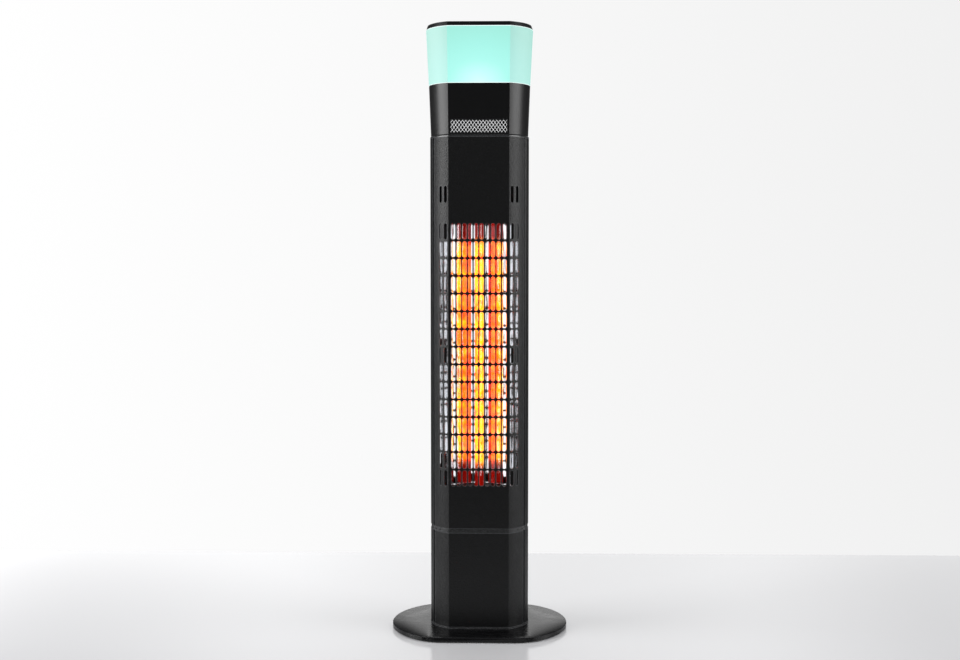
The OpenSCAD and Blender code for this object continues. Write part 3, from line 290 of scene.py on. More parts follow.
# %% Bare metals
zinc, tree, shader = start_material("zinc_plated_sheet", "#a9adb0", Metallic=1.0, Roughness=0.38)
_, grain, _ = relief(tree, shader, 14.0, 0.02)
cloud = add(tree, "ShaderNodeMapRange", {"To Min": 0.3, "To Max": 0.5}, {"Value": grain.outputs["Fac"]})
tree.links.new(cloud.outputs["Result"], shader.inputs["Roughness"])
dress(zinc, "zinc_sheet", "base_bracket", "tilt_bracket", "frame_rails", "heat_shield")

screw_zinc, tree, shader = start_material("zinc_plated_screw", "#b9bcbe", Metallic=1.0, Roughness=0.26)
relief(tree, shader, 0.8, 0.01)
dress(screw_zinc, "fastener_steel", "base_bolts", "tilt_pin", "lamp_clip_lower", "lamp_clip_upper",
      "rear_screws", "pedestal_screws", "speaker_basket")

brass, tree, shader = start_material("turned_brass", "#c8a15a", Metallic=1.0, Roughness=0.24)
relief(tree, shader, 0.6, 0.01)
dress(brass, "brass_weight", "tilt_pendulum")

# %% [markdown]
# ## Black nylon, rubber and dark steel
# Small moulded parts are glass-filled nylon, matt with a slight mottle. The pads under the foot
# are soft rubber, flatter still. The trough's end plates have a thin heat-resistant black.

# %% Dark plastics and rubber
nylon, tree, shader = start_material("moulded_nylon_black", "#131314", Roughness=0.5, IOR=1.53)
relief(tree, shader, 1.2, 0.02)
dress(nylon, "black_nylon", "cable_gland", "gland_nut", "tilt_microswitch", "control_bezel",
      "rocker_housing", "mesh_frame", "panel_hooks", "speaker_baffle")

rubber, tree, shader = start_material("soft_rubber_black", "#0f0f0f", Roughness=0.85, IOR=1.52)
relief(tree, shader, 1.8, 0.04)
dress(rubber, "rubber_pad", "rubber_feet")

stove, tree, shader = start_material("stove_enamel_black", "#161514", Roughness=0.6, IOR=1.5)
relief(tree, shader, 1.6, 0.03)
dress(stove, "dark_bracket", "reflector_bracket_lower", "reflector_bracket_upper")

# %% [markdown]
# ## Ceramic, wires and boards
# The lamp's caps and the cut-out are unglazed steatite, cream and chalky. The leads have a woven
# glass sleeve, drawn with a band about every 4 mm. The boards are glass-fibre laminate under a
# green solder mask, and their parts are plain moulded plastic.

# %% Ceramic and electrical parts
steatite, tree, shader = start_material("steatite_ceramic", "#e2dac9", Roughness=0.72, IOR=1.55)
relief(tree, shader, 0.9, 0.03)
dress(steatite, "ceramic", "lamp_cap_lower", "lamp_cap_upper", "overheat_cutout", "terminal_block")

WEAVE_SCALE, WEAVE_DEPTH = 160, 0.3 * MM
sleeve, tree, shader = start_material("woven_glass_sleeve", "#3c3a36", Roughness=0.8)
place = add(tree, "ShaderNodeTexCoord")
weave = add(tree, "ShaderNodeTexWave",
            {"Scale": WEAVE_SCALE, "Distortion": 0.5, "bands_direction": "DIAGONAL"},
            {"Vector": place.outputs["Object"]})
bump = add(tree, "ShaderNodeBump", {"Distance": WEAVE_DEPTH}, {"Height": weave.outputs["Fac"]})
tree.links.new(bump.outputs["Normal"], shader.inputs["Normal"])
dress(sleeve, "wire_sleeve", "lamp_leads", "wiring_loom")

laminate, tree, shader = start_material("solder_mask_green", "#1d5a36", Roughness=0.3, IOR=1.5)
relief(tree, shader, 2.5, 0.02)
dress(laminate, "circuit_board", "control_board", "button_board")

parts_plastic, tree, shader = start_material("component_housing", "#2b3550", Roughness=0.42, IOR=1.5)
relief(tree, shader, 1.5, 0.02)
dress(parts_plastic, "component_plastic", "board_parts")

# %% [markdown]
# ## Rocker, buttons, loudspeaker and light tray
# The rocker is a glossy red moulding, the keys a softer dark grey. The loudspeaker has a sintered
# ferrite magnet, grey and slightly rough, and a pressed paper cone. The tray that closes the head
# is white, so that it throws the light up.

# %% Controls, speaker and tray
red_gloss, tree, shader = start_material("rocker_red_gloss", "#a3150f", Roughness=0.22, IOR=1.49)
relief(tree, shader, 3.0, 0.01)
dress(red_gloss, "red_rocker", "power_rocker")

key_grey, tree, shader = start_material("key_soft_grey", "#3a3b3d", Roughness=0.55, IOR=1.5)
relief(tree, shader, 0.8, 0.015)
dress(key_grey, "button_plastic", "heat_button", "light_button")

ferrite, tree, shader = start_material("sintered_ferrite", "#3d3f42", Roughness=0.55, IOR=1.9)
relief(tree, shader, 1.2, 0.05)
dress(ferrite, "ferrite", "speaker_magnet")

paper, tree, shader = start_material("pressed_paper_cone", "#232322", Roughness=0.85)
relief(tree, shader, 1.0, 0.06, 6.0)
dress(paper, "cone_paper", "speaker_cone")

tray_white, tree, shader = start_material("moulded_white_tray", "#eef2f2", Roughness=0.4, IOR=1.5)
relief(tree, shader, 2.0, 0.01)
dress(tray_white, "white_tray", "led_tray", "led_board")

led, tree, shader = start_material("led_phosphor_lens", "#ffe7a0", Roughness=0.25, IOR=1.5)
relief(tree, shader, 0.5, 0.02)
shader.inputs["Emission Color"].default_value = linear("#c9fff6")
shader.inputs["Emission Strength"].default_value = 3.0
dress(led, "led_lens", "led_chips")

# %% [markdown]
# ## A way to add a new piece
# A piece is drawn in a bmesh, a mesh that lives outside any object while it is shaped. Some pieces
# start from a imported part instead: its loose triangles are copied and their points merged. One
# helper writes a bmesh to an object with its place in its points. Another makes that object a
# piece: it gives it a material, lets it ride on a body of the frame, hides the plain parts that it
# stands for, and shades it smooth where its faces meet at less than the given angle.

# %% From a bmesh to a piece of the object
WELD = 0.01 * MM


def merged_copy(name):
    shape = bmesh.new()
    shape.from_mesh(nodes[name].data)
    bmesh.ops.remove_doubles(shape, verts=shape.verts, dist=WELD)
    return shape


def to_object(name, shape):
    mesh = bpy.data.meshes.new(name)
    shape.to_mesh(mesh)
    made = bpy.data.objects.new(name, mesh)
    bpy.context.scene.collection.objects.link(made)
    return made


def piece(name, shape, material, body, stands_for, smooth):
    made = to_object(name, shape)
    shape.free()
    made.data.materials.append(material)
    made.data.shade_smooth()
    made.data.set_sharp_from_angle(angle=math.radians(smooth))
    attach(made, body)
    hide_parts(*stands_for)
    print(f"{name}: {len(made.data.vertices)} points, {len(made.data.polygons)} faces")
    return made


# %% [markdown]
# ## The foot plate
# The plate is flame-cut from thick sheet, so its plan has large round corners where the flats meet
# the round sides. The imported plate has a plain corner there. A merged copy of it is cut across at
# even steps to get points on the flats, and every point outside the corner's circle is pulled in
# on to it. Holes, thickness and the broken upper edge stay as they are.

# %% Round the corners of the plate
plate_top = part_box("base_plate")[1].z
HALF_W, HALF_D, HALF_FLAT, CORNER, BROKEN = (v * MM for v in (161, 118.5, 84.5, 80, 1.2))
CUTS, OVERRUN, SNAP = 16, 6 * MM, 0.001 * MM
side_x = (HALF_W ** 2 - HALF_FLAT ** 2 - HALF_D ** 2) / (2 * (HALF_W - HALF_FLAT))
side_r = HALF_W - side_x
corner_y = HALF_D - CORNER
corner_x = side_x + math.sqrt((side_r - CORNER) ** 2 - corner_y ** 2)
shape = merged_copy("base_plate")
for k in range(CUTS):
    for hand in (-1, 1):
        cut_at = hand * (corner_x + k * (HALF_FLAT + OVERRUN - corner_x) / (CUTS - 1))
        bmesh.ops.bisect_plane(shape, geom=shape.verts[:] + shape.edges[:] + shape.faces[:],
                               dist=SNAP, plane_co=(cut_at, 0, 0), plane_no=(1, 0, 0))
for v in shape.verts:
    dx, dy = abs(v.co.x) - corner_x, abs(v.co.y) - corner_y
    limit = CORNER - max(0, v.co.z - plate_top + BROKEN)
    reach_out = math.hypot(dx, dy)
    if dx > 0 and dy * (corner_x - side_x) > dx * corner_y and reach_out > limit:
        v.co.x = math.copysign(corner_x + dx * limit / reach_out, v.co.x)
        v.co.y = math.copysign(corner_y + dy * limit / reach_out, v.co.y)
print(f"flat between corners {2 * corner_x / MM:.0f} mm")

# %% [markdown]
# The plate has a smoother coat than the skins: a satin silicone enamel that flowed out before it
# set. It mirrors little when it is seen face on, so the rim stays black. The plate's top mirrors
# the pale room at the camera's low angle, broken by fine streaks from the brush of the cleaning
# line, and shows the column as a dark reflection. The streaks are about 3 mm wide and 17 mm long.
# The broken upper edge, which slopes by 45 degrees, carries a faint painted highlight: a slightly paler
# colour for the thin bright rim line.

# %% Satin enamel
STREAKS_PER_M, NARROWER = 60, 6
BROKEN_Z, SLACK = 0.707, 0.15
satin_coat, tree, shader = start_material("satin_enamel_black", "#0a0a0b", Roughness=0.25, IOR=1.4)
place, _, _ = relief(tree, shader, 3.0, 0.005)
facing = add(tree, "ShaderNodeSeparateXYZ", {}, {"Vector": place.outputs["Normal"]})
edge = add(tree, "ShaderNodeMath", {"operation": "COMPARE", 1: BROKEN_Z, 2: SLACK},
           {0: facing.outputs["Z"]})
along = add(tree, "ShaderNodeMapping", {"Scale": (1, NARROWER, 1)}, {"Vector": place.outputs["Object"]})
streaks = add(tree, "ShaderNodeTexNoise", {"Scale": STREAKS_PER_M, "Detail": 4},
              {"Vector": along.outputs["Vector"]})
shine = add(tree, "ShaderNodeMapRange", {"From Min": 0.35, "From Max": 0.65, "To Min": 0.21, "To Max": 0.3},
            {"Value": streaks.outputs["Fac"]})
tree.links.new(shine.outputs["Result"], shader.inputs["Roughness"])
under = add(tree, "ShaderNodeValToRGB", {}, {"Fac": streaks.outputs["Fac"]})
ramp_stops(under, [(0.35, "#060607"), (0.65, "#0e0e0f")])
# Painted highlight: the 45-degree broken edge gets the paler #1c1c1e for the rim's thin bright line.
paint_edge_highlight(tree, shader, under.outputs["Color"], edge, "#1c1c1e")
piece("foot_plate", shape, satin_coat, "tower", ("base_plate",), 30)

# %% [markdown]
# ## Windows in the rear skin's lips
# The rear skin steps in behind the edge of the front panel, and its lip reaches forward past the
# outer slots. Seen from the front those slots are as bright as their neighbours, so the lip must be
# open there: each one gets a window behind every row, apart from the three rows where the panel's
# hooks grip it. The windows are cut out of a merged copy with a Boolean modifier, and the blade is
# thrown away.

# %% Cut the windows
hook_low, hook_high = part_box("panel_hooks")
SLOT_ROWS, ROW_PITCH, HOOKED_ROWS = 15, 31.8 * MM, (0, 7, 14)
LIP_X, WINDOW_Y, WINDOW_W, WINDOW_D = (v * MM for v in (68, -42.5, 24, 11))
slot_tall = hook_high.z - hook_low.z - (SLOT_ROWS - 1) * ROW_PITCH
blade = bmesh.new()
for row in set(range(SLOT_ROWS)) - set(HOOKED_ROWS):
    for hand in (-1, 1):
        spot = Matrix.Translation((hand * LIP_X, WINDOW_Y, hook_low.z + row * ROW_PITCH + slot_tall / 2))
        spread_out = Matrix.Diagonal((WINDOW_W, WINDOW_D, slot_tall, 1))
        bmesh.ops.create_cube(blade, size=1, matrix=spot @ spread_out)
shape = merged_copy("rear_shell")
shell_blank, window_blade = to_object("shell_blank", shape), to_object("window_blade", blade)
blade.free()
windows = shell_blank.modifiers.new("windows", "BOOLEAN")
windows.object = window_blade
shape.clear()
shape.from_object(shell_blank, bpy.context.evaluated_depsgraph_get())
for spare in (shell_blank, window_blade):
    bpy.data.objects.remove(spare)
bmesh.ops.recalc_face_normals(shape, faces=shape.faces)
print(f"open edges: {sum(e.is_boundary for e in shape.edges)}")
piece("rear_skin_windowed", shape, coat, "tower", ("rear_shell",), 12)

# %% [markdown]
# ## The folded reflector
# The trough behind the lamp is thin bright aluminium. Its outer walls stand at 46 degrees, so that
# any ray comes almost straight back out of the slots and the walls look pale. A narrow flat land
# at each end of a wall mirrors the room in front. The two panels beside the flat back sag a little
# backwards, which spreads the lamp's mirror image over eight columns of slots. Slow waves a few tenths
# of a millimetre deep break the image into flames. A flat grid is drawn first, then each of its
# points is moved on to the folded line, with a push along the sheet's normal for the sag and the
# waves, which are weakest along the folds. The last 2 mm at both ends are hemmed forward, and that
# lip catches the lamp's light.

# %% The trough's folded line and its waves
low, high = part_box("reflector")
HEM, HEM_SLOPE, SHEET = 2.2 * MM, 0.7, 0.7 * MM
WAVE, RIPPLE, AT_FOLD = 0.3, 0.06, 0.3
SLOW_X, SLOW_Z, QUICK = 20, 14, 60
FOLDS = [(74, -31.2), (70.6, -30.8), (48.7, -7.7), (43.2, -7.1), (16, 14)]
half_line = [Vector((x * MM, y * MM)) for x, y in FOLDS]
fold_line = [Vector((-p.x, p.y)) for p in half_line] + half_line[::-1]
SAG = 1.1 * MM
sag = [0, 0, 0, SAG, 0, SAG, 0, 0, 0]
SPLITS = 10
across = []
for k, (start, end) in enumerate(zip(fold_line, fold_line[1:])):
    side = (end - start).normalized()
    for step in range(SPLITS):
        share = step / SPLITS
        across.append((start.lerp(end, share), Vector((side.y, -side.x)), share, sag[k]))
across.append((fold_line[-1], across[-1][1], 0.0, 0.0))


def wave(x, z):
    slow = noise.noise(Vector((x * SLOW_X, 3.1, z * SLOW_Z)))
    quick = noise.noise(Vector((x * QUICK, 8.4, z * QUICK)))
    return (WAVE * slow + RIPPLE * quick) * MM


ROWS = 190
shape = bmesh.new()
bmesh.ops.create_grid(shape, x_segments=len(across) - 1, y_segments=ROWS, size=1)
for v in shape.verts:
    i = round((v.co.x + 1) / 2 * (len(across) - 1))
    z = low.z + (v.co.y + 1) / 2 * (high.z - low.z)
    spot, normal, share, depth = across[i]
    held = math.sin(math.pi * share)
    push = wave(spot.x, z) * (AT_FOLD + (1 - AT_FOLD) * held) - 4 * depth * share * (1 - share)
    lip = max(0, HEM - min(z - low.z, high.z - z))
    push = push if 0 < i < len(across) - 1 else 0
    v.co = Vector((spot.x + normal.x * push, spot.y + normal.y * push - HEM_SLOPE * lip, z))
bmesh.ops.recalc_face_normals(shape, faces=shape.faces)
print(f"trough {2 * half_line[0].x:.3f} m wide, {high.z - low.z:.3f} m tall")

# %% [markdown]
# Polished aluminium is a metal of slightly bluish silver. Heat leaves a thin haze on it, so its
# roughness is low but not zero, and a finer relief than the mesh carries scatters the edges of
# each mirror image. Rolling has drawn upright lines into the sheet, about 4.5 mm apart here, and
# they blur an image sideways only.

# %% Polished aluminium
ROLLED_PER_M, ROLLED_DEPTH, LENGTHEN = 220, 0.07 * MM, 0.05
bright, tree, shader = start_material("polished_aluminium_sheet", "#eceef2", Metallic=1.0, Roughness=0.07)
place, _, _ = relief(tree, shader, 14.0, 0.08, 1.0)
drawn = add(tree, "ShaderNodeMapping", {"Scale": (1, 1, LENGTHEN)}, {"Vector": place.outputs["Object"]})
lines = add(tree, "ShaderNodeTexNoise", {"Scale": ROLLED_PER_M, "Detail": 1.0},
            {"Vector": drawn.outputs["Vector"]})
rolled = add(tree, "ShaderNodeBump", {"Strength": 1.0, "Distance": ROLLED_DEPTH},
             {"Height": lines.outputs["Fac"], "Normal": shader.inputs["Normal"].links[0].from_socket})
tree.links.new(rolled.outputs["Normal"], shader.inputs["Normal"])
trough = piece("reflector_folded", shape, bright, "tower", ("reflector",), 12)
wall = trough.modifiers.new("sheet", "SOLIDIFY")
wall.thickness = SHEET
wall.offset = -1

# %% [markdown]
# ## The lamp
# A ruby-coated quartz tube holds a long coil of tungsten wire. The coil glows yellow, the tube
# around it orange, and the last 77 mm at each end stay dark red. The coil is a real helix: a
# small ring of points, turned and lifted step by step with the spin operator. Nine thin discs keep
# it in the middle of the tube.

# %% Wind the coil
tube_low, tube_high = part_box("lamp_tube")
COLD_END, TURN, STEPS = 77 * MM, 4.0 * MM, 14
WIRE_R, COIL_R, LEAD_R, LEAD_GAP = (v * MM for v in (0.6, 2.9, 0.9, 2))
DISCS, DISC_R, DISC_T = 9, 7.2 * MM, 0.8 * MM
coil_low, coil_high = tube_low.z + COLD_END, tube_high.z - COLD_END
turns = round((coil_high - coil_low) / TURN)
shape = bmesh.new()
start = Matrix.Translation((COIL_R, 0, coil_low)) @ Matrix.Rotation(math.pi / 2, 4, "X")
bmesh.ops.create_circle(shape, cap_ends=False, segments=6, radius=WIRE_R, matrix=start)
bmesh.ops.spin(shape, geom=shape.verts[:] + shape.edges[:], angle=2 * math.pi * turns,
               steps=STEPS * turns, axis=(0, 0, 1), cent=(0, 0, 0),
               dvec=(0, 0, (coil_high - coil_low) / (STEPS * turns)), use_duplicate=False)
bmesh.ops.holes_fill(shape, edges=[e for e in shape.edges if e.is_boundary])
for z0, z1 in [(tube_low.z + LEAD_GAP, coil_low), (coil_high, tube_high.z - LEAD_GAP)]:
    bmesh.ops.create_cone(shape, cap_ends=True, segments=12, radius1=LEAD_R, radius2=LEAD_R,
                          depth=z1 - z0, matrix=Matrix.Translation((0, 0, (z0 + z1) / 2)))
for k in range(DISCS):
    z = coil_low + (coil_high - coil_low) * k / (DISCS - 1)
    bmesh.ops.create_cone(shape, cap_ends=True, segments=24, radius1=DISC_R, radius2=DISC_R,
                          depth=DISC_T, matrix=Matrix.Translation((0, 0, z)))
bmesh.ops.recalc_face_normals(shape, faces=shape.faces)
print(f"{turns} turns of {TURN / MM:.0f} mm")

# %% The coil's finish
tungsten, tree, shader = start_material("tungsten_coil_glowing", "#ffb060", Roughness=0.5)
shader.inputs["Emission Color"].default_value = linear("#ffc23a")
shader.inputs["Emission Strength"].default_value = 6.0
relief(tree, shader, 0.5, 0.05)
piece("lamp_coil", shape, tungsten, "tower", ("lamp_filament",), 50)

# %% [markdown]
# The tube's ruby coating lets the red and the heat through. It is drawn as glass with a glow of
# its own along the hot length, because the coating there is lit from within. The side that faces
# the slots is thinner and burns yellow, and the side towards the trough stays orange. Noise
# stretched along the tube gives the flicker, in flames about 9 mm wide and 18 mm tall. The coating
# is a stack of thin oxide films, so it mirrors more than bare quartz does.

# %% Ruby quartz
ruby, tree, shader = start_material("ruby_coated_quartz", "#ff5a1e", Roughness=0.06, IOR=1.9,
                                    Transmission_Weight=0.55)
place = add(tree, "ShaderNodeTexCoord")
parts = add(tree, "ShaderNodeSeparateXYZ", {}, {"Vector": place.outputs["Object"]})
DIM_BY, HOT_BY, TOWARDS_TROUGH, TOWARDS_SLOTS = (v * MM for v in (16, 10, 3, -7))
FLAMES_PER_M, FLAME_SHAPE = 70, (1.6, 1.6, 0.8)
lower = add(tree, "ShaderNodeMapRange",
            {"interpolation_type": "SMOOTHSTEP", "From Min": coil_low - DIM_BY,
             "From Max": coil_low + HOT_BY},
            {"Value": parts.outputs["Z"]})
upper = add(tree, "ShaderNodeMapRange",
            {"interpolation_type": "SMOOTHSTEP", "From Min": coil_high + DIM_BY,
             "From Max": coil_high - HOT_BY},
            {"Value": parts.outputs["Z"]})
hot = add(tree, "ShaderNodeMath", {"operation": "MULTIPLY"},
          {0: lower.outputs["Result"], 1: upper.outputs["Result"]})
stretched = add(tree, "ShaderNodeMapping", {"Scale": FLAME_SHAPE}, {"Vector": place.outputs["Object"]})
flicker = add(tree, "ShaderNodeTexNoise", {"Scale": FLAMES_PER_M, "Detail": 3},
              {"Vector": stretched.outputs["Vector"]})
facing = add(tree, "ShaderNodeMapRange",
             {"From Min": TOWARDS_TROUGH, "From Max": TOWARDS_SLOTS, "To Min": -0.12, "To Max": 0.16},
             {"Value": parts.outputs["Y"]})
heat = add(tree, "ShaderNodeMath", {"operation": "ADD"},
           {0: flicker.outputs["Fac"], 1: facing.outputs["Result"]})
ember = add(tree, "ShaderNodeValToRGB", {}, {"Fac": heat.outputs["Value"]})
ramp_stops(ember, [(0.26, "#c01604"), (0.40, "#ee5608"), (0.54, "#fb8c0a"), (0.66, "#ffd010")])
cold_glow = add(tree, "ShaderNodeMix", {"data_type": "RGBA", COLOUR_A: linear("#8e1208")},
                {FACTOR: hot.outputs["Value"], COLOUR_B: ember.outputs["Color"]})
glow = add(tree, "ShaderNodeMapRange", {"To Min": 0.5, "To Max": 0.95}, {"Value": hot.outputs["Value"]})
tint = add(tree, "ShaderNodeMix",
           {"data_type": "RGBA", COLOUR_A: linear("#7a0a04"), COLOUR_B: linear("#ff7a30")},
           {FACTOR: hot.outputs["Value"]})
tree.links.new(cold_glow.outputs[COLOUR_OUT], shader.inputs["Emission Color"])
tree.links.new(glow.outputs["Result"], shader.inputs["Emission Strength"])
tree.links.new(tint.outputs[COLOUR_OUT], shader.inputs["Base Color"])
dress(ruby, "ruby_quartz", "lamp_tube")

# %% [markdown]
# ## The speaker's mesh
# The window is covered with expanded steel: sheet is slit and pulled, which leaves wavy strands
# that meet at staggered knots. Each strand lies a little on edge, so its rising and falling legs
# catch the light differently and the mesh reads as rows of bright chevrons. The real diamonds are
# about 3.5 mm wide, two dots of the picture, so they are drawn about 6 mm wide to show at all. One
# strand is a hexagon of wire section, extruded leg by leg, up and down in turn. Five of them stand
# above each other, every second one moved by half a diamond.

# %% Draw the wavy strands
mesh_low, mesh_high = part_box("speaker_mesh")
COLS, LINES = 16, 5
STRAND, THICK, TILT = 0.8 * MM, 0.25 * MM, math.radians(18)
SET_BACK, UNEVEN = 0.55 * MM, 0.12 * MM
leg_x = (mesh_high.x - mesh_low.x) / (2 * COLS + 1)
leg_z = (mesh_high.z - mesh_low.z - 2 * STRAND) / LINES
mesh_y = mesh_low.y + SET_BACK
section = (Matrix.Rotation(TILT, 4, "X") @ Matrix.Diagonal((1, THICK, STRAND, 1))
           @ Matrix.Rotation(math.pi / 2, 4, "Y"))
shape = bmesh.new()
for j in range(LINES):
    bottom = mesh_low.z + STRAND + j * leg_z
    height = [bottom + leg_z * ((i + j) % 2) for i in range(2 * COLS + 2)]
    start = Matrix.Translation((mesh_low.x, mesh_y, height[0])) @ section
    ring = bmesh.ops.create_circle(shape, cap_ends=True, segments=6, radius=1, matrix=start)["verts"]
    edges = list({e for v in ring for e in v.link_edges})
    for i in range(1, 2 * COLS + 2):
        step = bmesh.ops.extrude_edge_only(shape, edges=edges)["geom"]
        moved = [g for g in step if isinstance(g, bmesh.types.BMVert)]
        edges = [g for g in step if isinstance(g, bmesh.types.BMEdge)]
        pulled = UNEVEN * noise.noise(Vector((i * 0.7, j * 1.3, 0.5)))
        bmesh.ops.translate(shape, verts=moved, vec=(leg_x, 0, height[i] - height[i - 1] + pulled))
        height[i] += pulled
    bmesh.ops.contextual_create(shape, geom=edges)
bmesh.ops.recalc_face_normals(shape, faces=shape.faces)
print(f"diamonds {2 * leg_x / MM:.2f} by {2 * leg_z / MM:.2f} mm")

# %% Bright expanded steel
silver, tree, shader = start_material("expanded_steel_bright", "#f2f3f4", Metallic=1.0, Roughness=0.24)
relief(tree, shader, 1.0, 0.02)
strands = piece("speaker_strands", shape, silver, "tower", ("speaker_mesh",), 25)

# %% [markdown]
# ## Screws on the back
# Ten dome-headed machine screws with a hexagon socket hold the skins to the rails. A screw is drawn
# as rings of 24 points, each extruded from the one before. One table gives the radius and height
# of each ring in millimetres, and says how far its circle is squeezed to a hexagon. Each screw
# stops at an angle of its own, which noise picks from its place.

# %% Draw one screw and set all ten
RINGS = [(1.9, -6, 0), (1.9, 0, 0), (3.8, 0, 0), (4, 0.3, 0), (4, 0.9, 0), (3.7, 1.5, 0), (3.0, 2.1, 0),
         (2.0, 2.4, 0), (1.45, 2.35, 1), (1.4, 1.1, 1), (0.2, 0.9, 0)]
SCREW_X, POINTS = 43 * MM, 24
SCREW_Z = [47.1, 159.5, 235.9, 546.5, 807.7]
skin_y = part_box("rear_screws")[1].y - max(height for _, height, _ in RINGS) * MM


def ring_point(angle, radius, height, hexness):
    sixth = math.pi / 3
    flat = math.cos(sixth / 2) / math.cos(angle % sixth - sixth / 2)
    r = radius * (1 + hexness * (flat - 1)) * MM
    return Vector((r * math.cos(angle), height * MM, r * math.sin(angle)))


shape = bmesh.new()
for x in (-SCREW_X, SCREW_X):
    for z in SCREW_Z:
        turned = noise.noise(Vector((x * 90, z / 30, 0))) * 3
        ring = bmesh.ops.create_circle(shape, cap_ends=True, segments=POINTS, radius=1)["verts"]
        edges = list({e for v in ring for e in v.link_edges})
        angles = {v: 2 * math.pi * k / POINTS for k, v in enumerate(ring)}
        for v in ring:
            v.co = ring_point(angles[v], *RINGS[0])
        for row in RINGS[1:]:
            step = bmesh.ops.extrude_edge_only(shape, edges=edges)["geom"]
            edges = [g for g in step if isinstance(g, bmesh.types.BMEdge) and g.is_boundary]
            moved = [g for g in step if isinstance(g, bmesh.types.BMVert)]
            for v in moved:
                angles[v] = math.atan2(v.co.z, v.co.x) % (2 * math.pi)
                v.co = ring_point(angles[v], *row)
            ring += moved
        bmesh.ops.contextual_create(shape, geom=edges)
        place = Matrix.Translation((x, skin_y, z * MM)) @ Matrix.Rotation(turned, 4, "Y")
        bmesh.ops.transform(shape, matrix=place, verts=ring)
bmesh.ops.recalc_face_normals(shape, faces=shape.faces)
piece("skin_screw_heads", shape, screw_zinc, "tower",
      ("rear_screws", "pedestal_screws"), 28)

# %% [markdown]
# ## The table
# The floor is a pale glossy table whose far edge lies 0.6 m behind the column. The room beyond is
# white, and so is the table where it nears that room: a glow that only the camera sees lifts its
# far side and its corners, and lights nothing. The glow grows with the square of the distance to
# the left or right of the table's darkest line, and from front to back.

# %% Lay the table
TABLE_SIDE, TABLE_BACK, TABLE_FRONT = 7, 0.6, -0.42
shape = bmesh.new()
bmesh.ops.create_grid(shape, x_segments=1, y_segments=1, size=1)
for v in shape.verts:
    v.co = Vector((v.co.x * TABLE_SIDE, TABLE_BACK if v.co.y > 0 else TABLE_FRONT, 0))
table_top = to_object("table_top", shape)
shape.free()
print(f"table {TABLE_BACK - TABLE_FRONT:.2f} m deep")

# %% Lacquered table
DARKEST_X, GLOW_GAIN, GLOW_BASE, GLOW_FROM = 0.22, 0.3, 0.07, -0.3
pale, tree, shader = start_material("lacquered_table", "#c5c5c7", Roughness=0.14, IOR=1.62)
place = add(tree, "ShaderNodeTexCoord")
parts = add(tree, "ShaderNodeSeparateXYZ", {}, {"Vector": place.outputs["Object"]})
aside = add(tree, "ShaderNodeMath", {"operation": "SUBTRACT", 1: DARKEST_X}, {0: parts.outputs["X"]})
squared = add(tree, "ShaderNodeMath", {"operation": "MULTIPLY"},
              {0: aside.outputs["Value"], 1: aside.outputs["Value"]})
paler = add(tree, "ShaderNodeMath", {"operation": "MULTIPLY_ADD", 1: GLOW_GAIN, 2: GLOW_BASE},
            {0: squared.outputs["Value"]})
far_off = add(tree, "ShaderNodeMapRange", {"From Min": GLOW_FROM, "From Max": TABLE_BACK, "To Min": 0.1},
              {"Value": parts.outputs["Y"]})
lifted = add(tree, "ShaderNodeMath", {"operation": "MULTIPLY"},
             {0: paler.outputs["Value"], 1: far_off.outputs["Result"]})
path = add(tree, "ShaderNodeLightPath")
shown = add(tree, "ShaderNodeMath", {"operation": "MULTIPLY"},
            {0: lifted.outputs["Value"], 1: path.outputs["Is Camera Ray"]})
shader.inputs["Emission Color"].default_value = linear("#ffffff")
tree.links.new(shown.outputs["Value"], shader.inputs["Emission Strength"])
table_top.data.materials.append(pale)

# %% [markdown]
# ## The room
# One world shader shows three rooms. The camera sees a white wall that greys a little to the right.
# Mirrors and glass see a dim room with one bright wall straight behind the object, so that the far
# part of the table mirrors white while black coat stays black. Every other ray gets an even light.

# %% White room
DIM_ROOM, EVEN_LIGHT, RIGHT_GREY = 0.06, 0.62, 0.87
world = bpy.data.worlds.new("white_room")
bpy.context.scene.world = world
world.use_nodes = True
tree = world.node_tree
tree.nodes.clear()
way = add(tree, "ShaderNodeTexCoord")
aim = add(tree, "ShaderNodeSeparateXYZ", {}, {"Vector": way.outputs["Generated"]})
path = add(tree, "ShaderNodeLightPath")
wall_tone = add(tree, "ShaderNodeMapRange",
                {"From Min": -0.35, "From Max": 0.35, "To Min": 1.0, "To Max": RIGHT_GREY},
                {"Value": aim.outputs["X"]})
off_axis = add(tree, "ShaderNodeMath", {"operation": "ABSOLUTE"}, {0: aim.outputs["X"]})
window = add(tree, "ShaderNodeMapRange",
             {"interpolation_type": "SMOOTHSTEP", "From Min": 0.34, "From Max": 0.14},
             {"Value": off_axis.outputs["Value"]})
behind = add(tree, "ShaderNodeMath", {"operation": "GREATER_THAN", 1: 0.0}, {0: aim.outputs["Y"]})
bright_wall = add(tree, "ShaderNodeMath", {"operation": "MULTIPLY"},
                  {0: window.outputs["Result"], 1: behind.outputs["Value"]})
ahead = add(tree, "ShaderNodeMapRange", {"To Min": DIM_ROOM, "To Max": 1.0},
            {"Value": bright_wall.outputs["Value"]})
mirrored = add(tree, "ShaderNodeMath", {"operation": "MAXIMUM"},
               {0: path.outputs["Is Glossy Ray"], 1: path.outputs["Is Transmission Ray"]})
lit = add(tree, "ShaderNodeMix", {"data_type": "FLOAT", FLOAT_A: EVEN_LIGHT},
          {FACTOR: mirrored.outputs["Value"], FLOAT_B: ahead.outputs["Result"]})
seen = add(tree, "ShaderNodeMix", {"data_type": "FLOAT"},
           {FACTOR: path.outputs["Is Camera Ray"], FLOAT_A: lit.outputs[FLOAT_OUT],
            FLOAT_B: wall_tone.outputs["Result"]})
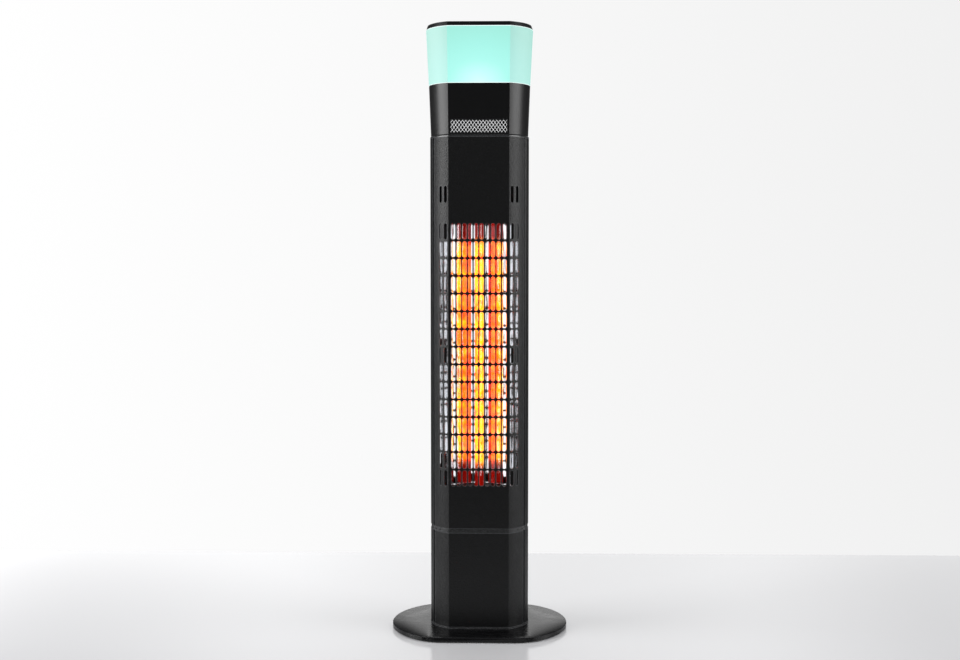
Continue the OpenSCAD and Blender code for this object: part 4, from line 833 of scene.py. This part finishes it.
backdrop = add(tree, "ShaderNodeBackground", {"Color": linear("#ffffff")},
               {"Strength": seen.outputs[FLOAT_OUT]})
add(tree, "ShaderNodeOutputWorld", {}, {"Surface": backdrop.outputs["Background"]})
print(f"even light {EVEN_LIGHT}, mirrored room {DIM_ROOM}")

# %% [markdown]
# ## The lamps
# Two tall soft boxes stand to the left and the right, just ahead of the object: they draw the grey
# bands along its rounded sides and leave the front flat dark. A small one hangs above and behind
# it. Light linking lets a lamp reach chosen pieces only. A wide soft light in front is seen by the
# bright metal alone, and two upright strips draw the white lines on the quartz tube, so that black
# coat stays black.

# %% Soft boxes
def soft_box(name, spot, aim_at, width, height, watts, only=()):
    light = bpy.data.lights.new(name, "AREA")
    light.shape = "RECTANGLE"
    light.size, light.size_y, light.energy = width, height, watts
    made = bpy.data.objects.new(name, light)
    bpy.context.scene.collection.objects.link(made)
    made.location = spot
    made.rotation_euler = (Vector(aim_at) - Vector(spot)).to_track_quat("-Z", "Y").to_euler()
    made.visible_camera = False
    if only:
        group = bpy.data.collections.new(name + "_reaches")
        for part in only:
            group.objects.link(part)
        made.light_linking.receiver_collection = group
    print(f"{name}: {watts / (math.pi * width * height):.1f} units bright")


SIDE_X, SIDE_Y, SIDE_Z = 1.565, -0.333, 1.15
for name, hand, watts in (("left_box", -1, 29), ("right_box", 1, 20.5)):
    soft_box(name, (hand * SIDE_X, SIDE_Y, SIDE_Z), (0, 0, 0.95), 1.05, 1.6, watts)
soft_box("top_box", (0, 0.9, 2.5), (0, 0, 0.4), 1.2, 0.8, 10)
soft_box("front_wall", (0, -2.0, 1.2), (0, 0, 0.9), 3.0, 3.4, 38, (trough, strands))
STRIP_AWAY, STRIP_TURN = 1.6, math.radians(34)
for name, hand in (("strip_left", -1), ("strip_right", 1)):
    spot = (hand * STRIP_AWAY * math.sin(STRIP_TURN), -STRIP_AWAY * math.cos(STRIP_TURN), 0.6)
    soft_box(name, spot, (0, 0, 0.5), 0.36, 1.6, 22, (nodes["lamp_tube"],))
